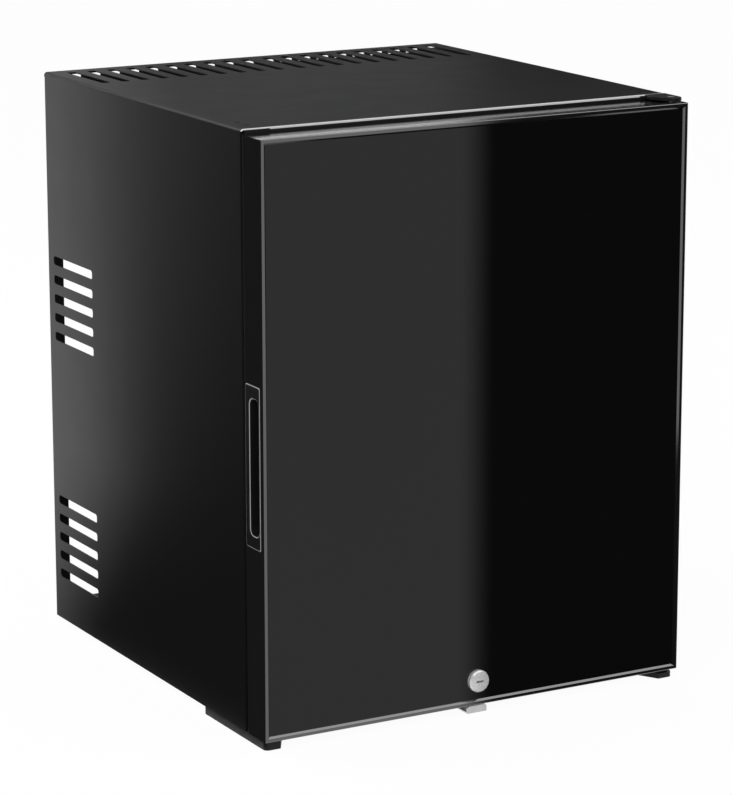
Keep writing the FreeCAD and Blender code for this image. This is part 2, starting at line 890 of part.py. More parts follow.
def wire_shelf(name, level):
    """A frame of bent wire on two ledges, with thin rungs across two stretchers."""
    wire = value("rail_wire_radius")
    rung = value("rung_radius")
    high = value(f"{level} + rail_wire_radius + seat_gap")
    side = value("cavity_half - shelf_side_gap - rail_wire_radius")
    near = value("cabinet_front + shelf_setback + rail_wire_radius")
    far = value("cavity_rear - shelf_side_gap - rail_wire_radius")
    halves = []
    for x in (side, -side):
        places = ((0, near), (x, near), (x, far), (0, far))
        corners = [FreeCAD.Vector(u, v, high) for u, v in places]
        halves.append(tube(corners, wire, value("shelf_corner")))
    bars = [halves[1]]
    across = FreeCAD.Vector(1, 0, 0)
    for share in (0.35, 0.65):
        begin = FreeCAD.Vector(-side, near + share * (far - near), high)
        bars.append(Part.makeCylinder(value("stretcher_radius"), 2 * side, begin, across))
    along = FreeCAD.Vector(0, 1, 0)
    count = int(value("rung_count"))
    for i in range(count):
        x = -side + 2 * side * (i + 1) / (count + 1)
        begin = FreeCAD.Vector(x, near, high + wire)
        bars.append(Part.makeCylinder(rung, far - near, begin, along))
    shaped(name, halves[0].multiFuse(bars))


# Cold plate and controls inside

def evaporator_plug():
    plug = Piece("evaporator_plug")
    plug.pad("XZ", "cavity_rear", "plug_rear - cavity_rear",
             rect("-plug_left", "plug_top - plug_height", "plug_width - plug_left", "plug_top"))


def evaporator_fins():
    plate = Piece("evaporator_fins")
    plate.pad("XZ", "cavity_rear - cold_plate", "cold_plate",
              rect("-cold_left", "cold_low", "cold_width - cold_left", "cold_top"))
    fin = plate.pad("XZ", "cavity_rear - cold_plate - cold_fin_depth", "cold_fin_depth",
                    rect("-cold_left", "cold_low", "cold_fin_gauge - cold_left", "cold_top"))
    plate.row(fin, "X", "(cold_width - cold_fin_gauge) / (cold_fin_count - 1)", "cold_fin_count")


def drip_tray():
    tray = Piece("drip_tray")
    left = "-cold_left - tray_overhang"
    right = "cold_width - cold_left + tray_overhang"
    near = "cavity_rear - tray_depth"
    tray.pad("XY", "tray_top - tray_height", "tray_height", rect(left, near, right, "cavity_rear"))
    tray.pocket("XY", "tray_top - tray_height + tray_wall", "tray_height - tray_wall",
                rect(f"{left} + tray_wall", f"{near} + tray_wall",
                     f"{right} - tray_wall", "cavity_rear - tray_wall"))


def control_housing():
    box = Piece("control_housing")
    far = "housing_start + housing_length"
    box.pad("YZ", "housing_face", "housing_depth",
            rounded("housing_start", "housing_top - housing_height", far, "housing_top",
                    "housing_round"))
    lens_start = "housing_start + lens_inset"
    box.pocket("YZ", "housing_face", "lens_depth",
               rounded(f"{lens_start} - seat_gap", "housing_middle - lens_height / 2 - seat_gap",
                       f"{lens_start} + lens_length + seat_gap",
                       "housing_middle + lens_height / 2 + seat_gap", "lens_corner"))
    box.pocket("YZ", "housing_face", "stem_length + seat_gap",
               circle("knob_y", "housing_middle", "stem_radius + running_gap"))
    lens = Piece("lamp_lens")
    lens.pad("YZ", "housing_face", "lens_depth",
             rounded(lens_start, "housing_middle - lens_height / 2",
                     f"{lens_start} + lens_length", "housing_middle + lens_height / 2",
                     "lens_corner"))


def thermostat_knob():
    knob = Piece("thermostat_knob")
    knob.revolve(rect(0, "seat_gap", "knob_radius", "seat_gap + knob_height"))
    knob.fillet("flute_radius / 2", ("round", {"z": "seat_gap + knob_height"}))
    flute = knob.pocket("XY", "seat_gap + knob_height / 4", "knob_height",
                        circle("knob_radius + flute_radius / 2", 0, "flute_radius"))
    knob.ring(flute, "knob_flutes")
    knob.pad("XY", "-stem_length", "stem_length + seat_gap", circle(0, 0, "stem_radius"))
    place(knob.body, "housing_face", "knob_y", "housing_middle", (0, 1, 0), -90)


# Feet

def front_skid(name, side, low_end, low_height):
    """A moulded skid, lower at the front, where the door or the hinge leaf passes over it."""
    skid = Piece(name)
    far = "skid_front + skid_length"
    skid.pad("XY", 0, "foot_height", poly(
        (f"{side}(half - skid_outer)", "skid_front"), (f"{side}(half - skid_tip)", "skid_front"),
        (f"{side}(half - skid_inner)", "skid_front + skid_taper"),
        (f"{side}(half - skid_inner)", far), (f"{side}(half - skid_outer)", far)))
    skid.fillet("skid_round", ("z", {"x": f"{side}(half - skid_outer)", "y": "skid_front"}))
    skid.pocket("XY", low_height, f"foot_height - ({low_height})",
                rect(f"{side}half", "front", f"{side}(half - 2 * skid_inner)", low_end))
    centres = [place_xy for place_xy in skid_screws() if place_xy[0].startswith("-") == bool(side)]
    skid.pocket("XY", 0, "screw_head_height + seat_gap",
                *[circle(x, y, "screw_head + seat_gap") for x, y in centres])
    skid.pocket("XY", 0, "foot_height",
                *[circle(x, y, "screw_shank + running_gap") for x, y in centres])


def rear_foot(name, side):
    foot = Piece(name)
    foot.revolve(poly((0, 0), ("rear_foot_radius - foot_chamfer", 0),
                      ("rear_foot_radius", "foot_chamfer"), ("rear_foot_radius", "foot_height"),
                      (0, "foot_height")))
    place(foot.body, f"{side}(half - rear_foot_inset)", "rear - rear_foot_inset", 0)


def foot_screws():
    low = value("seat_gap")
    high = value("base + sheet_gauge")
    screws = []
    for x, y in skid_screws():
        at = point(x, y, "seat_gap")
        head = Part.makeCylinder(value("screw_head"), value("screw_head_height"), at)
        shank = Part.makeCylinder(value("screw_shank"), high - low, at)
        screws.append(head.fuse(shank).removeSplitter())
    shaped("foot_screws", Part.makeCompound(screws))


# Hinge

def upper_hinge():
    """A leaf in a slot under the top, with a wider cap that reaches out over the door."""
    leaf = Piece("upper_hinge_leaf")
    nose = "front + leaf_setback"
    outer = "half - cap_edge"
    inner = "half - cap_width"
    leaf.pad("XY", "seam", "top - sheet_gauge - seam",
             rect("leaf_inner", "cabinet_front", "leaf_outer", "leaf_end"))
    leaf.pad("XY", "leaf_low", "top - leaf_low", poly(
        (outer, "cabinet_front"), (inner, "cabinet_front"), (inner, "cabinet_front - cap_side"),
        ("half - cap_nose", nose), (outer, nose)))
    leaf.fillet("leaf_round", ("z", {"x": outer, "y": nose}), ("z", {"x": "half - cap_nose", "y": nose}),
                ("z", {"x": inner, "y": "cabinet_front - cap_side"}))
    leaf.fillet("edge_round", ("y", {"x": outer, "z": "top"}))
    leaf.pocket("XY", "leaf_low", "top - leaf_low",
                circle("hinge_x", "hinge_y", "pin_radius + running_gap"))
    leaf.pocket("XY", "seam", "top - sheet_gauge - seam", *hinge_screw_holes(""))


def lower_hinge():
    leaf = Piece("lower_hinge_leaf")
    low = "lower_leaf_top - leaf_gauge"
    leaf.pad("XY", low, "leaf_gauge",
             rect("leaf_inner", "front + leaf_setback", "leaf_outer", "leaf_end"))
    leaf.pad("XY", "lower_leaf_top", "base - lower_leaf_top",
             rect("leaf_inner", "cabinet_front", "leaf_outer", "leaf_end"))
    leaf.fillet("leaf_round", ("z", {"x": "leaf_outer", "y": "front + leaf_setback"}),
                ("z", {"x": "leaf_inner", "y": "front + leaf_setback"}))
    leaf.pocket("XY", low, "leaf_gauge", circle("hinge_x", "hinge_y", "pin_radius + running_gap"))
    holes = [circle(x, y, "screw_shank + running_gap") for x, y in skid_screws()
             if not x.startswith("-")]
    leaf.pocket("XY", low, f"base - ({low})", *holes)


def hinge_bearings():
    """Two pins, one in each leaf, and the two bushes in the door that turn on them."""
    pins = []
    for low in ("lower_leaf_top - leaf_gauge", "top - pin_length"):
        at = point("hinge_x", "hinge_y", low)
        pins.append(Part.makeCylinder(value("pin_radius"), value("pin_length"), at))
    shaped("hinge_pins", Part.makeCompound(pins))
    bushes = []
    for low in ("base", "door_top - bush_length"):
        at = point("hinge_x", "hinge_y", low)
        outer = Part.makeCylinder(value("bush_radius"), value("bush_length"), at)
        bore = Part.makeCylinder(value("pin_radius + running_gap"), value("bush_length"), at)
        bushes.append(outer.cut(bore))
    shaped("hinge_bushes", Part.makeCompound(bushes))


def blanking_plug():
    """Fills the unused slot for a hinge leaf at the other top corner."""
    plug = Piece("blanking_plug")
    plug.pad("XY", "seam", "top - sheet_gauge - seam - seat_gap",
             rect("-leaf_outer", "cabinet_front", "-leaf_inner", "leaf_end"))
    plug.pocket("XY", "seam", "top - sheet_gauge - seam - seat_gap", *hinge_screw_holes("-"))


def hinge_screw_places():
    """The places of the screws at both top corners, in the leaf and in the blanking plug."""
    return [(f"{side}(half - screw_inset)", f"cabinet_front + cap_screw_first + {i} * cap_screw_spacing")
            for side in ("-", "") for i in range(2)]


def hinge_screw_holes(side):
    """Holes for the shanks of the screws at one top corner."""
    return [circle(x, y, "cap_screw_shank + running_gap") for x, y in hinge_screw_places()
            if x.startswith("-") == bool(side)]


def hinge_screws():
    screws = []
    for x, y in hinge_screw_places():
        at = point(x, y, "top - sheet_gauge")
        down = FreeCAD.Vector(0, 0, -1)
        head = Part.makeCylinder(value("cap_screw_head"), value("cap_screw_height"), at)
        shank = Part.makeCylinder(value("cap_screw_shank"), value("top - seam"), at, down)
        screws.append(head.fuse(shank).removeSplitter())
    shaped("hinge_screws", Part.makeCompound(screws))


# Door

def rail(name, length):
    """A metal profile with a lip over the glass and a flange for the seal, mitred at its ends."""
    bar = Piece(name)
    flange_end = "flange_depth + rail_wall"
    bar.pad("YZ", f"-({length}) / 2", length, poly(
        (0, 0), (0, "rail_land"), ("lip_depth", "lip_width"), ("lip_depth", "rail_wall"),
        ("flange_depth", "rail_wall"), ("flange_depth", "flange_width"),
        (flange_end, "flange_width"), (flange_end, "rail_wall"),
        ("door_thickness", "rail_wall"), ("door_thickness", 0)))
    bar.fillet("rail_round", ("x", {"y": 0, "z": 0}), ("x", {"y": "door_thickness", "z": 0}))
    end = f"({length}) / 2"
    inner = f"({length}) / 2 - flange_width"
    bar.pocket("XZ", 0, "door_thickness",
               poly((end, 0), (end, "flange_width"), (inner, "flange_width")),
               poly((f"-({end})", 0), (f"-({inner})", "flange_width"),
                    (f"-({end})", "flange_width")))
    return bar


def door_frame():
    width = "overall_width"
    height = "door_top - base"
    hole = "bush_radius + running_gap"
    top_rail = rail("door_frame_top", width)
    top_rail.pocket("XY", 0, "rail_wall", circle("-hinge_x", "hinge_setback", hole))
    place(top_rail.body, 0, "front", "door_top", (0, 1, 0), 180)
    bottom = rail("door_frame_bottom", width)
    bottom.pocket("XY", 0, "rail_wall", circle("hinge_x", "hinge_setback", hole))
    bottom.pocket("XY", 0, "rail_wall",
                  rect("-cam_width / 2 - cam_clearance", "cam_front - front - cam_clearance",
                       "sqrt(cam_reach^2 - (lock_rise - rail_wall)^2) + cam_clearance",
                       "cam_back - front + cam_clearance"))
    place(bottom.body, 0, "front", "base")
    left = rail("door_frame_left", height)
    left.pocket("XY", 0, "rail_wall",
                rect("door_middle - handle_top - seat_gap", "handle_front - seat_gap",
                     "door_middle - handle_low + seat_gap", "door_thickness"))
    left.pocket("XY", "rail_wall", "cup_depth + seat_gap - rail_wall",
                rect("door_middle - cup_top - seat_gap", "flange_depth",
                     "door_middle - cup_low + seat_gap", "flange_depth + rail_wall"))
    place(left.body, "-half", "front", "door_middle", (0, 1, 0), 90)
    right = rail("door_frame_right", height)
    place(right.body, "half", "front", "door_middle", (0, 1, 0), -90)


def handle_cup():
    cup = Piece("handle_cup")
    cup.pad("YZ", "-half", "rail_wall",
            rounded("front + handle_front", "handle_low",
                    "front + handle_front + handle_width", "handle_top", "handle_corner"))
    cup.pad("YZ", "-half", "cup_depth",
            rounded("cup_front", "cup_low", "cup_rear", "cup_top", "grip_corner"))
    cup.pocket("YZ", "-half", "grip_depth",
               rounded("front + grip_front", "grip_low", "front + grip_front + grip_width",
                       "grip_top", "grip_corner"))
    cup.fillet("grip_round", ("z", {"x": "-half", "y": "front + grip_front"}),
               ("z", {"x": "-half", "y": "front + handle_front"}))


def door_glass():
    glass = Piece("door_glass")
    glass.pad("XZ", "lip_back", "glass_thickness",
              rect("glass_edge - half", "base + glass_edge", "half - glass_edge",
                   "door_top - glass_edge"),
              circle(0, "lock_z", "barrel_radius + seat_gap"))


def door_liner():
    liner = Piece("door_liner")
    deep = "platform_rear - liner_front"
    wall = "door_liner_wall"
    liner.pad("XZ", "liner_front", wall,
              rect("liner_edge - half", "base + liner_edge", "half - liner_edge",
                   "door_top - liner_edge"))
    liner.pad("XZ", "liner_front", deep,
              rounded("-platform_half", "platform_low", "platform_half", "platform_top",
                      "platform_round * 2"))
    liner.pocket("XZ", "liner_front", f"{deep} - {wall}",
                 rect(f"-platform_half + {wall} * 2", f"platform_low + {wall} * 2",
                      f"platform_half - {wall} * 2", f"platform_top - {wall} * 2"))
    liner.fillet("platform_round / 2", ("x", {"y": "platform_rear", "z": "platform_top"}))
    for rise in ("lower_rack_rise", "upper_rack_rise"):
        liner.pad("XY", f"base + {rise} - {wall} * 2", f"{wall} * 2",
                  rect("rack_dip_inset - rack_half", "platform_rear",
                       "rack_half - rack_dip_inset", "platform_rear + rack_ledge"))


def door_foam():
    wall = "rail_wall + seat_gap"
    start = "glass_back"
    deep = "liner_front - glass_back"
    core = block("door_core", f"{wall} - half", start, f"base + {wall}",
                 f"overall_width - 2 * ({wall})", deep, f"door_top - base - 2 * ({wall})")
    margin = "door_liner_wall * 2 + seat_gap"
    bulge = block("door_bulge", f"{margin} - platform_half", start, f"platform_low + {margin}",
                  f"2 * (platform_half - ({margin}))",
                  "platform_rear - door_liner_wall - seat_gap - glass_back",
                  f"platform_top - platform_low - 2 * ({margin})")
    cup = block("door_cup_room", "-half", "front", "handle_low - seat_gap",
                "cup_depth + seat_gap", "door_thickness", "handle_height + 2 * seat_gap")
    lock = block("door_lock_room", "-nut_flats", "front", "base", "nut_flats + cam_reach + seat_gap",
                 "cam_back - front + cam_screw_grip", "lock_rise + nut_flats")
    room = "bush_radius + seat_gap"
    low_bush = cylinder("door_low_bush_room", "hinge_x", "hinge_y", "base", room,
                        "bush_length + pin_length")
    high_bush = cylinder("door_high_bush_room", "hinge_x", "hinge_y",
                         "door_top - bush_length - pin_length", room, "bush_length + pin_length")
    keep(cut("door_foam", fused("door_block", core, bulge), cup, lock, low_bush, high_bush))


def door_gasket():
    seal = Piece("door_gasket")
    inner = "gasket_inset + gasket_width"
    tip = "cabinet_front - seal_gap"
    seal.pad("XZ", "flange_back", f"{tip} - flange_back",
             rounded("gasket_inset - half", "base + gasket_inset", "half - gasket_inset",
                     "door_top - gasket_inset", "gasket_corner"),
             rounded(f"{inner} - half", f"base + {inner}", f"half - ({inner})",
                     f"door_top - ({inner})", "gasket_corner"))
    seal.fillet("gasket_round", ("x", {"y": tip, "z": "base + gasket_inset"}))


def door_rack(name, rise, height):
    """A moulded bin that stands on a ledge of the inner door."""
    rack = Piece(name)
    low = f"base + {rise}"
    near = "platform_rear + seat_gap"
    far = f"{near} + rack_depth"
    rack.pad("XY", low, height,
             rounded("-rack_half", near, "rack_half", far, "rack_corner"))
    rack.pocket("XY", f"{low} + rack_wall", f"{height} - rack_wall",
                rounded("rack_wall - rack_half", f"{near} + rack_wall", "rack_half - rack_wall",
                        f"{far} - rack_wall", "rack_corner - rack_wall"))
    rack.pocket("XZ", f"{far} - rack_wall", "rack_wall",
                rect("rack_dip_inset - rack_half", f"{low} + {height} - rack_dip",
                     "rack_half - rack_dip_inset", f"{low} + {height}"))


# Lock, about its own axis: heights are measured from the front face of the door inwards

def lock_placed(piece):
    """Turns a piece of the lock so that its height runs into the door."""
    place(piece.body, 0, "front", "lock_z", (1, 0, 0), -90)


def lock():
    bore = "plug_radius + running_gap"
    end = "cam_front - front - seat_gap"
    housing = Piece("lock_housing")
    housing.revolve(poly(
        (bore, "-lock_stand"), ("bezel_face", "-lock_stand"),
        ("bezel_radius", "bezel_bevel - lock_stand"), ("bezel_radius", "lip_depth"),
        ("barrel_radius", "lip_depth"), ("barrel_radius", end), (bore, end)))
    lock_placed(housing)
    nut = Piece("lock_nut")
    reach = "nut_flats / sqrt(3)"
    corners = [(f"({reach}) * cos({60 * i})", f"({reach}) * sin({60 * i})") for i in range(6)]
    nut.pad("XY", "glass_back - front", "nut_height", poly(*corners),
            circle(0, 0, "barrel_radius + running_gap"))
    lock_placed(nut)
    plug = Piece("lock_plug")
    face = "seat_gap - lock_stand"
    plug.pad("XY", face, f"{end} - ({face})", circle(0, 0, "plug_radius"))
    half_tang = "tang_width / 2"
    plug.pad("XY", end, f"cam_back - front - ({end})",
             rect(f"-{half_tang}", f"-{half_tang}", half_tang, half_tang))
    plug.pocket("XY", face, "keyhole_depth",
                rect("-keyhole_length / 2", "-keyhole_width / 2",
                     "keyhole_length / 2", "keyhole_width / 2"))
    plug.pocket("XY", "cam_back - front - cam_screw_grip", "cam_screw_grip",
                circle(0, 0, "cam_screw_shank + running_gap"))
    lock_placed(plug)
    cam = Piece("lock_cam")
    begin = "cam_front - front"
    tip = "cam_reach - cam_width / 2"
    cam.pad("XY", begin, "cam_gauge", circle(0, 0, "cam_hub"))
    cam.pad("XY", begin, "cam_gauge", rect(0, "-cam_width / 2", tip, "cam_width / 2"))
    cam.pad("XY", begin, "cam_gauge", circle(tip, 0, "cam_width / 2"))
    eye = "tang_width / 2 + running_gap"
    cam.pocket("XY", begin, "cam_gauge", rect(f"-({eye})", f"-({eye})", eye, eye))
    lock_placed(cam)
    screw = Piece("cam_screw")
    screw.revolve(poly(
        (0, "cam_back - front - cam_screw_grip + seat_gap"),
        ("cam_screw_shank", "cam_back - front - cam_screw_grip + seat_gap"),
        ("cam_screw_shank", "cam_back - front"), ("screw_head", "cam_back - front"),
        ("screw_head", "cam_back - front + screw_head_height"),
        (0, "cam_back - front + screw_head_height")))
    lock_placed(screw)


def strike():
    """A bent strip under the door, whose lip the lock cam drops behind."""
    strip = Piece("strike")
    gauge = "strike_gauge"
    far = "strike_rise + strike_foot"
    lip_top = "base - swing_gap"
    left = "-strike_width / 2"
    strip.pad("YZ", left, "strike_width", poly(
        ("strike_lip", "strike_low"), (f"strike_rise + {gauge}", "strike_low"),
        (f"strike_rise + {gauge}", f"base - {gauge}"), (far, f"base - {gauge}"), (far, "base"),
        ("strike_rise", "base"), ("strike_rise", f"strike_low + {gauge}"),
        (f"strike_lip + {gauge}", f"strike_low + {gauge}"), (f"strike_lip + {gauge}", lip_top),
        ("strike_lip", lip_top)))
    right = "strike_width / 2"
    strip.fillet("strike_corner", *[("y", {"x": x, "z": lip_top}) for x in (left, right)])
    strip.fillet("strike_round", ("x", {"y": "strike_lip", "z": "strike_low"}),
                 *[("y", {"x": x, "z": "strike_low"}) for x in (left, right)])
    holes = [circle(x, "strike_screw_y", "screw_shank + running_gap") for x in strike_screw_places()]
    strip.pocket("XY", f"base - {gauge}", gauge, *holes)
    screws = []
    for x in strike_screw_places():
        at = point(x, "strike_screw_y", f"base - {gauge}")
        down = FreeCAD.Vector(0, 0, -1)
        head = Part.makeCylinder(value("screw_head"), value("screw_head_height"), at, down)
        shank = Part.makeCylinder(value("screw_shank"), value(f"{gauge} + sheet_gauge"), at)
        screws.append(head.fuse(shank).removeSplitter())
    shaped("strike_screws", Part.makeCompound(screws))


def strike_screw_places():
    """The sideways places of the strike's screws."""
    return ("-strike_width / 4", "strike_width / 4")


# Cooling unit in the open rear bay

def boiler():
    casing = Piece("boiler_casing")
    edge = "boiler_radius - boiler_bevel"
    casing.revolve(poly(
        (0, 0), (edge, 0), ("boiler_radius", "boiler_bevel"),
        ("boiler_radius", "boiler_height - boiler_bevel"), (edge, "boiler_height"),
        (0, "boiler_height")))
    place(casing.body, "boiler_x", "unit_y", "boiler_low")
    heater = Piece("heater_cartridge")
    heater.revolve(poly(
        (0, 0), ("heater_radius", 0), ("heater_radius", "heater_height * 0.6"),
        ("heater_radius * 0.6", "heater_height * 0.75"), ("heater_radius * 0.6", "heater_height"),
        (0, "heater_height")))
    place(heater.body, "boiler_x + heater_shift", "unit_y - heater_shift", "boiler_top")
    at = point("boiler_x", "unit_y", "boiler_low + strap_rise")
    tall = value("strap_height")
    band = Part.makeCylinder(value("boiler_radius + running_gap + strap_gauge"), tall, at)
    tab_place = point("boiler_x - strap_tab / 2", "bay", "boiler_low + strap_rise")
    tab = Part.makeBox(value("strap_tab"), value("unit_offset"), tall, tab_place)
    bore = Part.makeCylinder(value("boiler_radius + running_gap"), tall, at)
    shaped("boiler_strap", band.fuse(tab).cut(bore))


def condenser():
    bend = value("condenser_bend")
    radius = value("condenser_radius")
    entry = "plug_middle + condenser_entry"
    run = tube([
        point("boiler_x", "unit_y", "boiler_top"), point("boiler_x", "unit_y", "condenser_z"),
        point("condenser_end", "unit_y", "condenser_z"), point("condenser_end", "unit_y", entry),
        point("condenser_end", "plug_rear", entry)], radius, bend)
    shaped("condenser_tube", run)
    size = value("fin_size")
    bore = value("condenser_radius + running_gap")
    along = FreeCAD.Vector(1, 0, 0)
    fins = []
    for i in range(int(value("fin_count"))):
        left = f"fin_first - {i} * fin_pitch"
        corner = point(left, "unit_y - fin_size / 2", "condenser_z - fin_size / 2")
        fin = Part.makeBox(value("fin_gauge"), size, size, corner)
        hole = Part.makeCylinder(bore, value("fin_gauge"), point(left, "unit_y", "condenser_z"), along)
        fins.append(fin.cut(hole))
    shaped("condenser_fins", Part.makeCompound(fins))


def bracket(left, level, reach, bore):
    """A plate with an eye for a tube, and a foot on the back plate."""
    tall = value("bracket_height")
    gauge = value("bracket_gauge")
    low = f"{level} - bracket_height / 2"
    plate = Part.makeBox(gauge, value(reach), tall, point(left, "bay", low))
    foot = Part.makeBox(value("bracket_foot"), gauge, tall, point(left, "bay", low))
    along = FreeCAD.Vector(1, 0, 0)
    eye = Part.makeCylinder(value(bore), gauge, point(left, "unit_y", level), along)
    hole_place = point(f"{left} + bracket_screw_shift", "bay", level)
    hole = Part.makeCylinder(value("bracket_hole"), gauge, hole_place, FreeCAD.Vector(0, 1, 0))
    return plate.fuse(foot).removeSplitter().cut(eye).cut(hole)


def brackets():
    upper = [bracket(x, "condenser_z", "unit_offset + condenser_radius * 1.5",
                     "condenser_radius + running_gap") for x in condenser_bracket_places()]
    shaped("condenser_brackets", Part.makeCompound(upper))
    lower = [bracket(x, "tank_z", "unit_offset", "tank_radius + running_gap")
             for x in tank_bracket_places()]
    shaped("tank_brackets", Part.makeCompound(lower))
    screws = []
    back = FreeCAD.Vector(0, 1, 0)
    for x, level in bracket_screw_places():
        head = Part.makeCylinder(value("screw_head"), value("screw_head_height"),
                                 point(x, "bay + bracket_gauge", level), back)
        shank = Part.makeCylinder(value("bracket_hole - running_gap"),
                                  value("bracket_gauge + sheet_gauge"),
                                  point(x, "bay - sheet_gauge", level), back)
        screws.append(head.fuse(shank).removeSplitter())
    shaped("bracket_screws", Part.makeCompound(screws))


def condenser_bracket_places():
    """The sideways places of the condenser's brackets."""
    return ("boiler_x - condenser_bracket_inset", "condenser_end + condenser_bracket_inset")


def tank_bracket_places():
    """The sideways places of the tank's brackets."""
    return ("tank_right - tank_bracket_right", "tank_bracket_left - tank_left")


def bracket_screw_places():
    """The places, sideways and up, of the screws that hold the brackets."""
    seats = [(x, "condenser_z") for x in condenser_bracket_places()]
    seats += [(x, "tank_z") for x in tank_bracket_places()]
    return [(f"{x} + bracket_screw_shift", level) for x, level in seats]


def absorber():
    tank = Piece("absorber_tank")
    long = "tank_left + tank_right"
    edge = "tank_radius - tank_bevel"
    tank.revolve(poly(
        (0, 0), (edge, 0), ("tank_radius", "tank_bevel"),
        ("tank_radius", f"{long} - tank_bevel"), (edge, long), (0, long)))
    place(tank.body, "-tank_left", "unit_y", "tank_z", (0, 1, 0), 90)
    along = FreeCAD.Vector(1, 0, 0)
    shell = Part.makeCylinder(value("tank_radius"), value(long),
                              point("-tank_left", "unit_y", "tank_z"), along)
    high = "base + coil_rise + (coil_runs - 1) * coil_pitch"
    begin_x = "boiler_x - coil_start"
    corners = [point(begin_x, "coil_y", "boiler_top"), point(begin_x, "coil_y", high)]
    runs_made = int(value("coil_runs"))
    for i in range(runs_made - 1):
        turn = "-coil_left" if i % 2 == 0 else "coil_right"
        corners.append(point(turn, "coil_y", f"{high} - {i} * coil_pitch"))
        corners.append(point(turn, "coil_y", f"{high} - {i + 1} * coil_pitch"))
    corners.append(point("coil_end - coil_left", "coil_y", "base + coil_rise"))
    corners.append(point("coil_end - coil_left", "coil_y", "tank_z"))
    coil = tube(corners, value("coil_radius"), value("coil_pitch / 2"))
    shaped("absorber_coil", coil.cut(shell))
    bend = value("gas_bend")
    entry = "plug_middle - condenser_entry"
    gas = tube([
        point("gas_x", "plug_rear", entry), point("gas_x", "gas_y", entry),
        point("gas_x", "gas_y", "tank_z + gas_drop_run"),
        point("gas_x", "unit_y", "tank_z + gas_drop_run - (unit_offset - gas_offset)"),
        point("gas_x", "unit_y", "tank_z")], value("gas_radius"), bend)
    shaped("gas_tube", gas.cut(shell))
    solution = tube([
        point("tank_right", "unit_y", "tank_z"), point("boiler_x", "unit_y", "tank_z"),
        point("boiler_x", "unit_y", "boiler_low")],
        value("solution_radius"), value("solution_bend"))
    shaped("solution_tube", solution)


def control_box():
    right = "box_left + box_width"
    high = "box_low + box_height"
    wall = "box_wall"
    box = Piece("control_box")
    box.pad("XZ", "box_front", "box_depth",
            rounded("box_left", "box_low", right, high, "box_round"))
    box.pocket("XZ", f"box_front + {wall}", f"box_depth - {wall}",
               rect(f"box_left + {wall}", f"box_low + {wall}", f"{right} - {wall}",
                    f"{high} - {wall}"))
    cover = Piece("control_box_cover")
    cover.pad("XZ", "box_rear", wall,
              rounded("box_left", "box_low", right, high, "box_round"),
              circle("gland_x", "gland_z", "gland_body + running_gap"))
    gland = Piece("cord_gland")
    stand = "box_wall + gland_stand"
    gland.revolve(poly(
        ("gland_bore", f"{stand} - gland_length"), ("gland_body", f"{stand} - gland_length"),
        ("gland_body", "box_wall"), ("gland_flange", "box_wall"),
        ("gland_flange", f"{stand} - gland_stand / 2"), ("gland_body", stand),
        ("gland_bore", stand)))
    place(gland.body, "gland_x", "box_rear", "gland_z", (1, 0, 0), -90)


def build():
    top_panel()
    side_panel("left_side_panel", "-")
    side_panel("right_side_panel", "")
    base_plate()
    back_plate()
    front_frame()
    inner_liner()
    foam_insulation()
    wire_shelf("lower_shelf", "lower_level")
    wire_shelf("upper_shelf", "upper_level")
    evaporator_plug()
    evaporator_fins()
    drip_tray()
    control_housing()
    thermostat_knob()
    front_skid("front_left_foot", "-", "cabinet_front", "base - swing_gap")
    front_skid("front_right_foot", "", "leaf_end + seat_gap", "lower_leaf_top - leaf_gauge")
    rear_foot("rear_left_foot", "-")
    rear_foot("rear_right_foot", "")
    foot_screws()
    upper_hinge()
    lower_hinge()
    hinge_bearings()
    blanking_plug()
    hinge_screws()
    door_frame()
    handle_cup()
    door_glass()
    door_liner()
    door_foam()
    door_gasket()
    door_rack("lower_rack", "lower_rack_rise", "lower_rack_height")
    door_rack("upper_rack", "upper_rack_rise", "upper_rack_height")
    lock()
    strike()
    boiler()
    condenser()
    brackets()
    absorber()
    control_box()


def write_pieces():
    """Checks every object, then writes each piece to its own file."""
    doc.recompute()
    for thing in doc.Objects:
        if "Invalid" in thing.State or "Error" in thing.State:
            raise RuntimeError(f"{thing.Label} failed: {thing.State}")
    for piece in pieces:
        if piece.Shape.isNull() or not piece.Shape.isValid():
            raise RuntimeError(f"{piece.Label} has no valid shape")
    os.makedirs("parts", exist_ok=True)
    for piece in pieces:
        piece.Shape.exportStep(f"parts/{piece.Label}.step")


build()
write_pieces()
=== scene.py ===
import math

import bmesh
import bpy
from bpy.props import FloatProperty, FloatVectorProperty, IntProperty, PointerProperty
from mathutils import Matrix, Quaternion, Vector


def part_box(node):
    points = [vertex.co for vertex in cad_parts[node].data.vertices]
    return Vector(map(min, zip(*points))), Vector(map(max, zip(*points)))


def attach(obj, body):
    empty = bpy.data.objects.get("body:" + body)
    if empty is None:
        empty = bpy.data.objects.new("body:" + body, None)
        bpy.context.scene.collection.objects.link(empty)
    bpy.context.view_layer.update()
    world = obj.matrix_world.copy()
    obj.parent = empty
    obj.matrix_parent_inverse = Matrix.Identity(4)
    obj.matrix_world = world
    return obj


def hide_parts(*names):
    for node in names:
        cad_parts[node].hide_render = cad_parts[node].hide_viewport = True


bl_info = {
    "name": "Minibar fridge",
    "version": (1, 0, 0),
    "blender": (4, 5, 0),
    "location": "View3D > Sidebar > Minibar",
    "description": "Finishes, soft pieces and studio for a hotel minibar fridge",
    "category": "Object",
}

